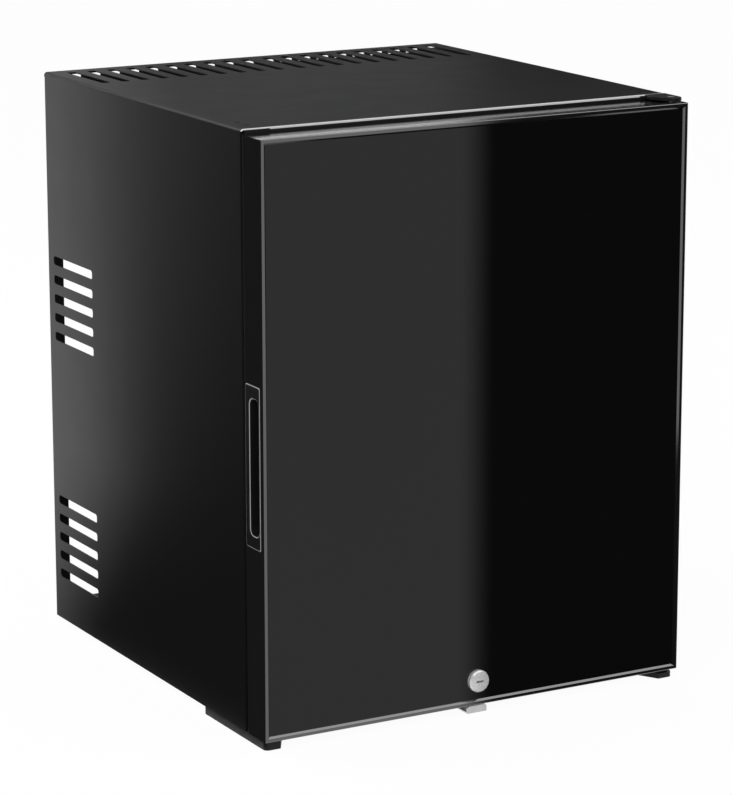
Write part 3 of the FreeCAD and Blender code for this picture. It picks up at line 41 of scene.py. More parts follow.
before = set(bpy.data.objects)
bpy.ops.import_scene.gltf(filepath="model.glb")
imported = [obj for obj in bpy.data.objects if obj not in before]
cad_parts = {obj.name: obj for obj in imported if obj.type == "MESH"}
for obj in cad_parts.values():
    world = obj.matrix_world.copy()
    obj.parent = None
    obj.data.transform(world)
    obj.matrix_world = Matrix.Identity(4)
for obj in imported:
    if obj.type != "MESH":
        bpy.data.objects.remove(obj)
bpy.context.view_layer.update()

# Nodes that share one finish
PAINTED_PANELS = ("left_side_panel", "right_side_panel")
BLACK_FITTINGS = ("front_left_foot", "front_right_foot", "rear_left_foot", "rear_right_foot",
                  "blanking_plug", "upper_hinge_leaf", "lower_hinge_leaf", "hinge_screws",
                  "hinge_bushes", "control_box", "control_box_cover", "cord_gland")
PLATED_STEEL = ("base_plate", "back_plate", "hinge_pins", "foot_screws", "strike_screws",
                "bracket_screws", "condenser_brackets", "tank_brackets", "lock_nut", "lock_cam",
                "cam_screw")
BOILER_STEEL = ("boiler_casing", "boiler_strap", "heater_cartridge")
BARE_ALUMINIUM = ("evaporator_fins", "condenser_fins")
LACQUERED_TUBES = ("condenser_tube", "absorber_coil", "absorber_tank", "gas_tube", "solution_tube")
WHITE_MOULDINGS = ("inner_liner", "drip_tray", "control_housing", "door_liner", "thermostat_knob")
RACKS = ("lower_rack", "upper_rack")
SHELVES = ("lower_shelf", "upper_shelf")
FOAMS = ("foam_insulation", "door_foam", "evaporator_plug")
LEVEL_RAILS = ("door_frame_top", "door_frame_bottom")
UPRIGHT_RAILS = ("door_frame_left", "door_frame_right")
POLISHED = ("lock_housing", "lock_plug")


class MINIBAR_PG_colours(bpy.types.PropertyGroup):
    """Colours that a user would change."""

    paint: FloatVectorProperty(
        name="Panel paint", description="Powder coat of the steel cabinet",
        subtype="COLOR", size=3, min=0, max=1, default=(0.005, 0.005, 0.0054))
    glass: FloatVectorProperty(
        name="Door glass", description="Back-painted glass of the door",
        subtype="COLOR", size=3, min=0, max=1, default=(0.0025, 0.0025, 0.0026))
    rails: FloatVectorProperty(
        name="Door rails", description="Metal frame of the door",
        subtype="COLOR", size=3, min=0, max=1, default=(0.19, 0.19, 0.187))
    mouldings: FloatVectorProperty(
        name="Black fittings", description="Pull, feet, hinge leaves, plug and electrical box",
        subtype="COLOR", size=3, min=0, max=1, default=(0.008, 0.008, 0.0085))
    lining: FloatVectorProperty(
        name="White mouldings", description="Food compartment, inner door, racks and knob",
        subtype="COLOR", size=3, min=0, max=1, default=(0.74, 0.755, 0.76))
    seal: FloatVectorProperty(
        name="Door seal", description="Soft magnetic seal",
        subtype="COLOR", size=3, min=0, max=1, default=(0.035, 0.035, 0.037))


class MINIBAR_PG_sizes(bpy.types.PropertyGroup):
    """Sizes of the pieces that are modelled here."""

    seal_width: FloatProperty(
        name="Seal width", description="Width of the soft seal's section",
        subtype="DISTANCE", unit="LENGTH", min=0.004, default=0.010)
    seal_waist: FloatProperty(
        name="Seal waist", description="How far the bellows of the seal pull in",
        subtype="DISTANCE", unit="LENGTH", min=0, default=0.0022)
    seal_round: FloatProperty(
        name="Seal rounding", description="Rounding of the seal's edges",
        subtype="DISTANCE", unit="LENGTH", min=0, default=0.0012)
    tick_count: IntProperty(
        name="Dial ticks", description="Number of raised ticks round the thermostat knob",
        min=2, default=7)
    tick_length: FloatProperty(
        name="Tick length", description="Length of one raised tick",
        subtype="DISTANCE", unit="LENGTH", min=0.001, default=0.0035)
    # Painted highlight: width of the lighter bands along the pull's edges and the top panel's front
    # edge, which stand in for light caught on rounded edges
    highlight_width: FloatProperty(
        name="Highlight edge", description="Width of the lighter edges of the pull and the top panel",
        subtype="DISTANCE", unit="LENGTH", min=0.0002, default=0.0009)
    plate_corner: FloatProperty(
        name="Plate corner", description="Corner radius of the pull's plate",
        subtype="DISTANCE", unit="LENGTH", min=0.001, default=0.003)
    grip_corner: FloatProperty(
        name="Recess corner", description="Corner radius of the pull's recess",
        subtype="DISTANCE", unit="LENGTH", min=0.001, default=0.0055)
    grip_front: FloatProperty(
        name="Recess front margin", description="From the plate's front edge to the recess",
        subtype="DISTANCE", unit="LENGTH", min=0, default=0.0025)
    grip_rear: FloatProperty(
        name="Recess rear margin", description="From the plate's rear edge to the recess",
        subtype="DISTANCE", unit="LENGTH", min=0, default=0.0079)
    grip_end: FloatProperty(
        name="Recess end margin", description="From the plate's ends to the recess",
        subtype="DISTANCE", unit="LENGTH", min=0, default=0.01125)
    lens_length: FloatProperty(
        name="Lens", description="Focal length of the camera for a 36 mm sensor",
        subtype="DISTANCE_CAMERA", min=10, default=152.88)


# Finishes

class Finish:
    """A procedural material on Object coordinates, built up node by node."""

    # Most values of a noise lie between these
    NOISE_LOW = 0.3
    NOISE_HIGH = 0.7
    # Colour sockets of a mix node, whose names also stand for its other sockets
    MIX_FIRST = 6
    MIX_SECOND = 7
    MIX_RESULT = 2

    def __init__(self, name, colour, roughness, metallic=0.0):
        self.material = bpy.data.materials.new(name)
        self.material.use_nodes = True
        tree = self.material.node_tree
        self.nodes = tree.nodes
        self.links = tree.links
        self.shader = self.nodes["Principled BSDF"]
        self.shader.inputs["Base Color"].default_value = (*colour, 1)
        self.shader.inputs["Roughness"].default_value = roughness
        self.shader.inputs["Metallic"].default_value = metallic
        self.place = self.nodes.new("ShaderNodeTexCoord").outputs["Object"]
        self.colour = colour
        self.roughness = roughness

    def stretched(self, stretch):
        """Coordinates that are squeezed along some axes, for grain with a direction."""
        mapping = self.nodes.new("ShaderNodeMapping")
        mapping.inputs["Scale"].default_value = stretch
        self.links.new(self.place, mapping.inputs["Vector"])
        return mapping.outputs["Vector"]

    def noise(self, scale, detail, stretch=None):
        """Cloudy noise, so many cycles to the metre."""
        node = self.nodes.new("ShaderNodeTexNoise")
        node.inputs["Scale"].default_value = scale
        node.inputs["Detail"].default_value = detail
        place = self.stretched(stretch) if stretch else self.place
        self.links.new(place, node.inputs["Vector"])
        return node.outputs["Fac"]

    def cells(self, scale):
        """Cells of random value, as in the spangle of plated steel."""
        node = self.nodes.new("ShaderNodeTexVoronoi")
        node.inputs["Scale"].default_value = scale
        self.links.new(self.place, node.inputs["Vector"])
        return node.outputs["Color"]

    def ribs(self, scale, axis):
        """Straight ribs across one axis."""
        node = self.nodes.new("ShaderNodeTexWave")
        node.bands_direction = axis
        node.inputs["Scale"].default_value = scale
        self.links.new(self.place, node.inputs["Vector"])
        return node.outputs["Fac"]

    def tint(self, factor, amount):
        """Lets the colour go darker and lighter by a share of itself."""
        ramp = self.nodes.new("ShaderNodeValToRGB")
        dark, light = ramp.color_ramp.elements
        dark.position = self.NOISE_LOW
        light.position = self.NOISE_HIGH
        dark.color = (*(part * (1 - amount) for part in self.colour), 1)
        light.color = (*(part * (1 + amount) for part in self.colour), 1)
        self.links.new(factor, ramp.inputs["Fac"])
        self.links.new(ramp.outputs["Color"], self.shader.inputs["Base Color"])

    def worn(self, factor, amount):
        """Lets the roughness go up and down by an amount."""
        node = self.nodes.new("ShaderNodeMapRange")
        node.inputs["From Min"].default_value = self.NOISE_LOW
        node.inputs["From Max"].default_value = self.NOISE_HIGH
        node.inputs["To Min"].default_value = self.roughness - amount
        node.inputs["To Max"].default_value = self.roughness + amount
        self.links.new(factor, node.inputs["Value"])
        self.links.new(node.outputs["Result"], self.shader.inputs["Roughness"])

    def front_band(self, edge, top, width):
        """1 in a narrow band along a top's front edge, which reaches further down than back, else 0."""
        split = self.nodes.new("ShaderNodeSeparateXYZ")
        self.links.new(self.place, split.inputs["Vector"])
        both = self.nodes.new("ShaderNodeMath")
        both.operation = "MULTIPLY"
        self.links.new(self.near(split.outputs["Y"], edge, width), both.inputs[0])
        self.links.new(self.near(split.outputs["Z"], top, 2 * width), both.inputs[1])
        return both.outputs["Value"]

    def outline_band(self, low, high, corner, width):
        """1 in a narrow band just inside a round-cornered rectangle in the YZ plane, else 0."""
        core = (high - low) / 2 - Vector((0, corner, corner))
        place = self.vector("MULTIPLY", self.place, (0, 1, 1))
        place = self.vector("SUBTRACT", place, (0, *((low + high) / 2)[1:]))
        place = self.vector("SUBTRACT", self.vector("ABSOLUTE", place), (0, *core[1:]))
        place = self.vector("MAXIMUM", place, (0, 0, 0))
        reach = self.nodes.new("ShaderNodeVectorMath")
        reach.operation = "LENGTH"
        self.links.new(place, reach.inputs[0])
        return self.near(reach.outputs["Value"], corner - width / 2, width / 2)

    def vector(self, operation, place, amount=(0, 0, 0)):
        """One step of arithmetic on coordinates."""
        node = self.nodes.new("ShaderNodeVectorMath")
        node.operation = operation
        self.links.new(place, node.inputs[0])
        node.inputs[1].default_value = amount
        return node.outputs["Vector"]

    def near(self, value, middle, reach):
        """1 where a value lies within reach of a middle, else 0."""
        node = self.nodes.new("ShaderNodeMath")
        node.operation = "COMPARE"
        self.links.new(value, node.inputs[0])
        node.inputs[1].default_value = middle
        node.inputs[2].default_value = reach
        return node.outputs["Value"]

    def paint_highlight(self, band, tone):
        """Makes the colour lighter inside a band: a painted highlight, standing in for light caught on
        a rounded edge.
        """
        mix = self.nodes.new("ShaderNodeMix")
        mix.data_type = "RGBA"
        base = self.shader.inputs["Base Color"]
        self.links.new(band, mix.inputs["Factor"])
        self.links.new(base.links[0].from_socket, mix.inputs[self.MIX_FIRST])
        mix.inputs[self.MIX_SECOND].default_value = (tone, tone, tone, 1)
        self.links.new(mix.outputs[self.MIX_RESULT], base)

    def bump(self, height, depth):
        """Raises the surface where a height goes from 0 to 1, by a depth in metres."""
        node = self.nodes.new("ShaderNodeBump")
        node.inputs["Strength"].default_value = 1.0
        node.inputs["Distance"].default_value = depth
        self.links.new(height, node.inputs["Height"])
        self.links.new(node.outputs["Normal"], self.shader.inputs["Normal"])


def powder_coat(name, colour):
    """Satin black powder coat with a fine orange peel."""
    finish = Finish(name, colour, roughness=0.38)
    finish.tint(finish.noise(scale=7.0, detail=3.0), amount=0.05)
    finish.worn(finish.noise(scale=30.0, detail=4.0), amount=0.015)
    finish.bump(finish.noise(scale=1400.0, detail=2.0), depth=0.00002)
    finish.shader.inputs["Specular IOR Level"].default_value = 0.3
    return finish


def black_glass(colour):
    """Polished glass over black paint, with faint wiping marks."""
    finish = Finish("black_glass", colour, roughness=0.045)
    finish.tint(finish.noise(scale=4.0, detail=2.0), amount=0.15)
    finish.worn(finish.noise(scale=18.0, detail=5.0, stretch=(1.0, 1.0, 3.0)), amount=0.02)
    finish.shader.inputs["IOR"].default_value = 1.5
    return finish.material


def brushed_rail(name, colour, grain):
    """Satin anodised metal, brushed along its length."""
    finish = Finish(name, colour, roughness=0.13, metallic=1.0)
    lines = finish.noise(scale=900.0, detail=3.0, stretch=grain)
    finish.tint(finish.noise(scale=60.0, detail=3.0, stretch=grain), amount=0.07)
    finish.worn(lines, amount=0.03)
    finish.bump(lines, depth=0.000004)
    return finish.material


def polished_chrome():
    """Bright chrome plate with faint handling marks."""
    finish = Finish("polished_chrome", (0.92, 0.92, 0.93), roughness=0.28, metallic=0.55)
    finish.tint(finish.noise(scale=120.0, detail=3.0), amount=0.06)
    finish.worn(finish.noise(scale=260.0, detail=4.0), amount=0.05)
    return finish.material


def strike_steel():
    """Satin bright steel strip."""
    finish = Finish("strike_steel", (0.5, 0.5, 0.5), roughness=0.26, metallic=1.0)
    finish.tint(finish.noise(scale=300.0, detail=3.0), amount=0.08)
    finish.worn(finish.noise(scale=700.0, detail=3.0), amount=0.06)
    return finish.material


def plated_steel():
    """Zinc-plated sheet with a soft spangle."""
    finish = Finish("plated_steel", (0.44, 0.45, 0.46), roughness=0.41, metallic=0.95)
    finish.tint(finish.cells(scale=110.0), amount=0.16)
    finish.worn(finish.noise(scale=45.0, detail=4.0), amount=0.08)
    finish.bump(finish.noise(scale=700.0, detail=2.0), depth=0.000015)
    return finish.material


def boiler_steel():
    """Rolled casing with fine lines round it and heat-dulled patches."""
    finish = Finish("boiler_steel", (0.5, 0.49, 0.47), roughness=0.4, metallic=0.95)
    lines = finish.noise(scale=500.0, detail=2.0, stretch=(0.03, 0.03, 1.0))
    finish.tint(finish.noise(scale=16.0, detail=4.0), amount=0.2)
    finish.worn(lines, amount=0.09)
    finish.bump(lines, depth=0.00002)
    return finish.material


def bare_aluminium():
    """Mill-finished fins with rolling lines."""
    finish = Finish("bare_aluminium", (0.62, 0.63, 0.64), roughness=0.42, metallic=1.0)
    lines = finish.noise(scale=600.0, detail=2.0, stretch=(1.0, 0.04, 1.0))
    finish.tint(finish.noise(scale=40.0, detail=3.0), amount=0.1)
    finish.worn(lines, amount=0.08)
    finish.bump(lines, depth=0.00001)
    return finish.material


def tube_lacquer():
    """Black lacquer on steel tubes, a little uneven."""
    finish = Finish("tube_lacquer", (0.014, 0.014, 0.015), roughness=0.44)
    finish.tint(finish.noise(scale=24.0, detail=4.0), amount=0.35)
    finish.worn(finish.noise(scale=70.0, detail=4.0), amount=0.1)
    finish.bump(finish.noise(scale=220.0, detail=3.0), depth=0.00006)
    return finish.material


def white_moulding(name, colour, roughness):
    """Moulded white plastic with a fine grain."""
    finish = Finish(name, colour, roughness)
    finish.tint(finish.noise(scale=9.0, detail=2.0), amount=0.025)
    finish.worn(finish.noise(scale=60.0, detail=3.0), amount=0.05)
    finish.bump(finish.noise(scale=1100.0, detail=2.0), depth=0.000018)
    return finish.material


def black_moulding(name, colour):
    """Moulded black plastic with a spark-eroded grain."""
    finish = Finish(name, colour, roughness=0.46)
    finish.shader.inputs["Specular IOR Level"].default_value = 0.22
    finish.tint(finish.noise(scale=20.0, detail=3.0), amount=0.15)
    finish.worn(finish.noise(scale=150.0, detail=3.0), amount=0.06)
    finish.bump(finish.noise(scale=1900.0, detail=3.0), depth=0.00005)
    return finish


def coated_wire():
    """White plastic coating on shelf wire, with a soft ripple."""
    finish = Finish("coated_wire", (0.76, 0.77, 0.77), roughness=0.42)
    finish.tint(finish.noise(scale=50.0, detail=2.0), amount=0.04)
    finish.worn(finish.noise(scale=90.0, detail=2.0), amount=0.06)
    finish.bump(finish.noise(scale=400.0, detail=2.0), depth=0.00004)
    return finish.material


def rigid_foam():
    """Blown foam with open cells at its skin."""
    finish = Finish("rigid_foam", (0.66, 0.52, 0.26), roughness=0.85)
    finish.tint(finish.noise(scale=35.0, detail=4.0), amount=0.15)
    finish.worn(finish.noise(scale=80.0, detail=2.0), amount=0.05)
    finish.bump(finish.cells(scale=600.0), depth=0.0002)
    return finish.material


def soft_seal(colour):
    """Soft vinyl of the door seal."""
    finish = Finish("soft_seal", colour, roughness=0.55)
    finish.tint(finish.noise(scale=26.0, detail=3.0), amount=0.12)
    finish.worn(finish.noise(scale=120.0, detail=3.0), amount=0.07)
    finish.bump(finish.noise(scale=800.0, detail=2.0), depth=0.00003)
    return finish.material


def frosted_lens():
    """Ribbed lens of the lamp."""
    finish = Finish("frosted_lens", (0.86, 0.85, 0.78), roughness=0.4)
    finish.tint(finish.noise(scale=40.0, detail=2.0), amount=0.04)
    finish.worn(finish.noise(scale=90.0, detail=2.0), amount=0.05)
    finish.bump(finish.ribs(scale=90.0, axis="Y"), depth=0.0003)
    finish.shader.inputs["Transmission Weight"].default_value = 0.35
    return finish.material


def grey_frame():
    """Moulded ring round the mouth of the food compartment."""
    finish = Finish("grey_frame", (0.12, 0.12, 0.124), roughness=0.42)
    finish.tint(finish.noise(scale=12.0, detail=2.0), amount=0.08)
    finish.worn(finish.noise(scale=90.0, detail=3.0), amount=0.06)
    finish.bump(finish.noise(scale=1500.0, detail=2.0), depth=0.00003)
    return finish.material


def tick_ink():
    """Dark ink on the dial's raised ticks."""
    finish = Finish("tick_ink", (0.03, 0.03, 0.032), roughness=0.5)
    finish.tint(finish.noise(scale=200.0, detail=2.0), amount=0.2)
    finish.worn(finish.noise(scale=400.0, detail=2.0), amount=0.08)
    return finish.material


def coat(names, material):
    """Gives CAD nodes a finish."""
    for name in names:
        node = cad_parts[name]
        if not node.material_slots:
            node.data.materials.append(material)
        for material_slot in node.material_slots:
            material_slot.material = material


# Modelling helpers

def start_clean():
    """Leaves edit mode and selects nothing."""
    if bpy.context.mode != "OBJECT":
        bpy.ops.object.mode_set(mode="OBJECT")
    bpy.ops.object.select_all(action="DESELECT")


def choose(kind, test):
    """In edit mode, selects the verts, edges or faces that a test accepts."""
    bpy.ops.mesh.select_mode(type=kind)
    bpy.ops.mesh.select_all(action="DESELECT")
    mesh = bmesh.from_edit_mesh(bpy.context.object.data)
    for part in {"VERT": mesh.verts, "EDGE": mesh.edges, "FACE": mesh.faces}[kind]:
        part.select_set(test(part))
    mesh.select_flush_mode()
    bmesh.update_edit_mesh(bpy.context.object.data)


def settle(piece, name, body, material):
    """Names a finished piece, puts its place in its mesh and lets it ride on a body."""
    bpy.ops.object.mode_set(mode="OBJECT")
    bpy.ops.object.transform_apply(location=True, rotation=True, scale=True)
    piece.name = name
    piece.data.materials.clear()
    piece.data.materials.append(material)
    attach(piece, body)


class MINIBAR_OT_cabinet(bpy.types.Operator):
    """Finishes the cabinet's painted panels, the plated sheets and the black fittings"""

    bl_idname = "minibar.cabinet"
    bl_label = "Cabinet"

    def execute(self, context):
        colours = context.scene.minibar_colours
        sizes = context.scene.minibar_sizes
        coat(PAINTED_PANELS, powder_coat("powder_coat", colours.paint).material)
        top_panel_paint_and_highlight = powder_coat("top_panel_paint_and_highlight", colours.paint)
        low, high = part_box("top_panel")
        # Painted highlight: a lighter band along the top panel's front edge stands in for the light
        # caught by its rounded fold
        edge = top_panel_paint_and_highlight.front_band(low[1], high[2], sizes.highlight_width)
        top_panel_paint_and_highlight.paint_highlight(edge, tone=0.75)
        coat(("top_panel",), top_panel_paint_and_highlight.material)
        coat(PLATED_STEEL, plated_steel())
        coat(BLACK_FITTINGS, black_moulding("black_moulding", colours.mouldings).material)
        return {"FINISHED"}


class MINIBAR_OT_inside(bpy.types.Operator):
    """Finishes the food compartment, its shelves and its controls"""

    bl_idname = "minibar.inside"
    bl_label = "Inside"

    def execute(self, context):
        lining = context.scene.minibar_colours.lining
        coat(WHITE_MOULDINGS, white_moulding("white_moulding", lining, roughness=0.36))
        coat(RACKS, white_moulding("rack_moulding", lining, roughness=0.4))
        coat(SHELVES, coated_wire())
        coat(("front_frame",), grey_frame())
        coat(("lamp_lens",), frosted_lens())
        coat(FOAMS, rigid_foam())
        return {"FINISHED"}


class MINIBAR_OT_cooling_unit(bpy.types.Operator):
    """Finishes the cooling unit in the rear bay"""

    bl_idname = "minibar.cooling_unit"
    bl_label = "Cooling unit"

    def execute(self, context):
        coat(LACQUERED_TUBES, tube_lacquer())
        coat(BOILER_STEEL, boiler_steel())
        coat(BARE_ALUMINIUM, bare_aluminium())
        return {"FINISHED"}


class MINIBAR_OT_door(bpy.types.Operator):
    """Finishes the door's glass, rails and pull, the lock and the strike"""

    bl_idname = "minibar.door"
    bl_label = "Door"

    # Brushing that is drawn out along a level rail and along an upright one
    LEVEL_GRAIN = (0.02, 1.0, 1.0)
    UPRIGHT_GRAIN = (1.0, 1.0, 0.02)
    # Tone of the painted highlights along the pull's edges, and how much of their width the recess
    # shows
    HIGHLIGHT_TONE = 0.38
    RECESS_SHARE = 0.8

    def execute(self, context):
        colours = context.scene.minibar_colours
        coat(("door_glass",), black_glass(colours.glass))
        coat(LEVEL_RAILS, brushed_rail("level_rail", colours.rails, self.LEVEL_GRAIN))
        coat(UPRIGHT_RAILS, brushed_rail("upright_rail", colours.rails, self.UPRIGHT_GRAIN))
        coat(POLISHED, polished_chrome())
        coat(("strike",), strike_steel())
        coat(("handle_cup",), self.pull_moulding(context))
        return {"FINISHED"}

    def pull_moulding(self, context):
        """Black moulding whose plate and recess have lighter bands along their edges, painted
        highlights where light catches the rounded edges.
        """
        sizes = context.scene.minibar_sizes
        finish = black_moulding("pull_moulding", context.scene.minibar_colours.mouldings)
        low, high = (Vector(corner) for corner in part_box("handle_cup"))
        width = sizes.highlight_width
        # Painted highlights: lighter bands round the plate and the recess stand in for light caught on
        # their rounded edges
        plate = finish.outline_band(low, high, sizes.plate_corner, width)
        finish.paint_highlight(plate, self.HIGHLIGHT_TONE)
        grip_low = low + Vector((0, sizes.grip_front - width, sizes.grip_end - width))
        grip_high = high - Vector((0, sizes.grip_rear - width, sizes.grip_end - width))
        recess = finish.outline_band(grip_low, grip_high, sizes.grip_corner + width,
                                     self.RECESS_SHARE * width)
        finish.paint_highlight(recess, self.HIGHLIGHT_TONE)
        return finish.material


class MINIBAR_OT_door_seal(bpy.types.Operator):
    """Models the soft seal as a ring with a waist and a groove along its face"""

    bl_idname = "minibar.door_seal"
    bl_label = "Door seal"

    # Cuts across the ring, as shares of its depth, with the waist at the middle one
    CUTS = (0.3, 0.5, 0.7)
    WAIST = CUTS[1]
    # Each rim beside the groove as a share of the seal's width, and its bevel as one of the rounding
    RIM_SHARE = 0.3
    BEVEL_SHARE = 0.6
    SMOOTH_DEGREES = 40
    # How close counts as being at a level, in metres, and how square as facing the cabinet
    AT_LEVEL = 1e-4
    AT_RIM = 1e-5
    FACING = 0.9

    def execute(self, context):
        sizes = context.scene.minibar_sizes
        low, high = (Vector(corner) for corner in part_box("door_gasket"))
        middle = (low + high) / 2
        span = high - low
        seal = self.plain_ring(middle, span, low.y, sizes)
        self.pull_in_waist(middle, span, low.y, sizes)
        self.groove_face(high.y, sizes)
        bpy.ops.object.mode_set(mode="OBJECT")
        bpy.ops.object.shade_smooth_by_angle(angle=math.radians(self.SMOOTH_DEGREES))
        settle(seal, "soft_door_seal", "door",
               soft_seal(context.scene.minibar_colours.seal))
        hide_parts("door_gasket")
        return {"FINISHED"}

    @staticmethod
    def plain_ring(middle, span, start, sizes):
        """A ring of rectangular section, left in edit mode."""
        start_clean()
        bpy.ops.mesh.primitive_plane_add(
            size=1, location=(middle.x, start, middle.z), rotation=(math.pi / 2, 0, 0))
        ring = bpy.context.object
        ring.scale = (span.x, span.z, 1)
        bpy.ops.object.transform_apply(location=True, rotation=True, scale=True)
        bpy.ops.object.mode_set(mode="EDIT")
        bpy.ops.mesh.select_all(action="SELECT")
        bpy.ops.mesh.inset(thickness=sizes.seal_width)
        bpy.ops.mesh.delete(type="FACE")
        bpy.ops.mesh.select_all(action="SELECT")
        bpy.ops.mesh.extrude_region_move(TRANSFORM_OT_translate={"value": (0, span.y, 0)})
        bpy.ops.mesh.select_all(action="SELECT")
        bpy.ops.mesh.normals_make_consistent(inside=False)
        return ring

    def pull_in_waist(self, middle, span, start, sizes):
        """Cuts the ring across its depth and draws the middle cut in from both sides."""
        for share in self.CUTS:
            bpy.ops.mesh.select_all(action="SELECT")
            bpy.ops.mesh.bisect(plane_co=(0, start + share * span.y, 0), plane_no=(0, 1, 0))
        level = start + self.WAIST * span.y
        half_x = span.x / 2 - sizes.seal_width / 2
        half_z = span.z / 2 - sizes.seal_width / 2

        def at_waist(vert):
            return abs(vert.co.y - level) < self.AT_LEVEL

        def outside(vert):
            return abs(vert.co.x - middle.x) > half_x or abs(vert.co.z - middle.z) > half_z

        def inside(vert):
            return not outside(vert)

        for on_side, sign in ((outside, -1), (inside, 1)):
            choose("VERT", lambda vert: at_waist(vert) and on_side(vert))
            grow = 2 * sign * sizes.seal_waist
            bpy.ops.transform.resize(
                value=(1 + grow / span.x, 1, 1 + grow / span.z),
                center_override=(middle.x, level, middle.z))

    def groove_face(self, tip, sizes):
        """Presses a shallow groove into the face that meets the cabinet and bevels its rims."""
        def on_face(face):
            level = face.calc_center_median().y
            return face.normal.y > self.FACING and abs(level - tip) < self.AT_LEVEL

        def on_rim(edge):
            flush = all(abs(vert.co.y - tip) < self.AT_RIM for vert in edge.verts)
            return flush and not edge.is_boundary

        choose("FACE", on_face)
        bpy.ops.mesh.inset(thickness=sizes.seal_width * self.RIM_SHARE)
        bpy.ops.transform.translate(value=(0, -sizes.seal_round, 0))
        choose("EDGE", on_rim)
        bpy.ops.mesh.bevel(offset=sizes.seal_round * self.BEVEL_SHARE, segments=2)


class MINIBAR_OT_dial(bpy.types.Operator):
    """Models the raised ticks round the thermostat knob and the pointer on it"""

    bl_idname = "minibar.dial"
    bl_label = "Dial"

    # Where the ticks start round the knob, and how far they go, in degrees
    FIRST_TICK = -135
    SWEEP = 270
    # From the knob's rim to the middle of a tick, and the pointer's length, in tick lengths
    TICK_REACH = 0.7
    POINTER_LENGTH = 2
    # From the knob's centre to the middle of the pointer, as a share of the knob's radius
    POINTER_REACH = 0.6
    # Section and rounding of a tick, which is sunk to half its thickness, in metres
    THICKNESS = 0.0006
    WIDTH = 0.0009
    ROUND = 0.00015

    def execute(self, context):
        sizes = context.scene.minibar_sizes
        low, high = (Vector(corner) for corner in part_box("thermostat_knob"))
        face_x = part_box("control_housing")[0][0]
        centre = Vector((face_x, (low.y + high.y) / 2, (low.z + high.z) / 2))
        radius = (high.z - low.z) / 2
        dark = tick_ink()
        ticks = self.ring_of_ticks(centre, radius, sizes)
        settle(ticks, "dial_ticks", "cabinet", dark)
        tip = Vector((low.x, centre.y, centre.z))
        pointer = self.tick(tip, self.POINTER_REACH * radius, math.radians(self.FIRST_TICK),
                            self.POINTER_LENGTH * sizes.tick_length)
        settle(pointer, "dial_pointer", "thermostat", dark)
        return {"FINISHED"}

    def ring_of_ticks(self, centre, radius, sizes):
        """The ticks round the knob, joined into one piece."""
        reach = radius + self.TICK_REACH * sizes.tick_length
        ticks = []
        for i in range(sizes.tick_count):
            angle = math.radians(self.FIRST_TICK + self.SWEEP * i / (sizes.tick_count - 1))
            ticks.append(self.tick(centre, reach, angle, sizes.tick_length))
        start_clean()
        for tick in ticks:
            tick.select_set(True)
        bpy.context.view_layer.objects.active = ticks[0]
        bpy.ops.object.join()
        return ticks[0]

    def tick(self, centre, reach, angle, length):
        """A low bar with rounded top edges, pointing away from a centre in the YZ plane."""
        start_clean()
        out = Vector((0, math.sin(angle), math.cos(angle)))
        bpy.ops.mesh.primitive_cube_add(size=1, location=centre + out * reach)
        bar = bpy.context.object
        bar.rotation_euler = (-angle, 0, 0)
        bar.scale = (self.THICKNESS, self.WIDTH, length)
        bpy.ops.object.transform_apply(location=True, rotation=True, scale=True)
        bpy.ops.object.mode_set(mode="EDIT")
        choose("EDGE", lambda edge: all(vert.co.x < centre.x for vert in edge.verts))
        bpy.ops.mesh.bevel(offset=self.ROUND, segments=2)
        bpy.ops.object.mode_set(mode="OBJECT")
        return bar


# Studio helpers

WHITE = (1, 1, 1, 1)


def bare_tree(owner):
    """Gives a material or a world an empty node tree."""
    owner.use_nodes = True
    owner.node_tree.nodes.clear()
    return owner.node_tree


def white_light(tree, kind, strength=1.0):
    """A white background or emission node."""
    node = tree.nodes.new(kind)
    node.inputs["Color"].default_value = WHITE
    node.inputs["Strength"].default_value = strength
    return node


def seen_directly(tree):
    """1 where a ray comes from the camera, a mirror or clear glass, else 0."""
    path = tree.nodes.new("ShaderNodeLightPath")
    total = path.outputs["Is Camera Ray"]
    for name in ("Is Glossy Ray", "Is Transmission Ray"):
        either = tree.nodes.new("ShaderNodeMath")
        either.operation = "MAXIMUM"
        tree.links.new(total, either.inputs[0])
        tree.links.new(path.outputs[name], either.inputs[1])
        total = either.outputs["Value"]
    return total


def show_mix(tree, output, factor, first, second):
    """Ends a node tree with a mix of two shaders: the first where the factor is 0."""
    mix = tree.nodes.new("ShaderNodeMixShader")
    tree.links.new(factor, mix.inputs["Fac"])
    tree.links.new(first, mix.inputs[1])
    tree.links.new(second, mix.inputs[2])
    end = tree.nodes.new(output)
    tree.links.new(mix.outputs["Shader"], end.inputs["Surface"])


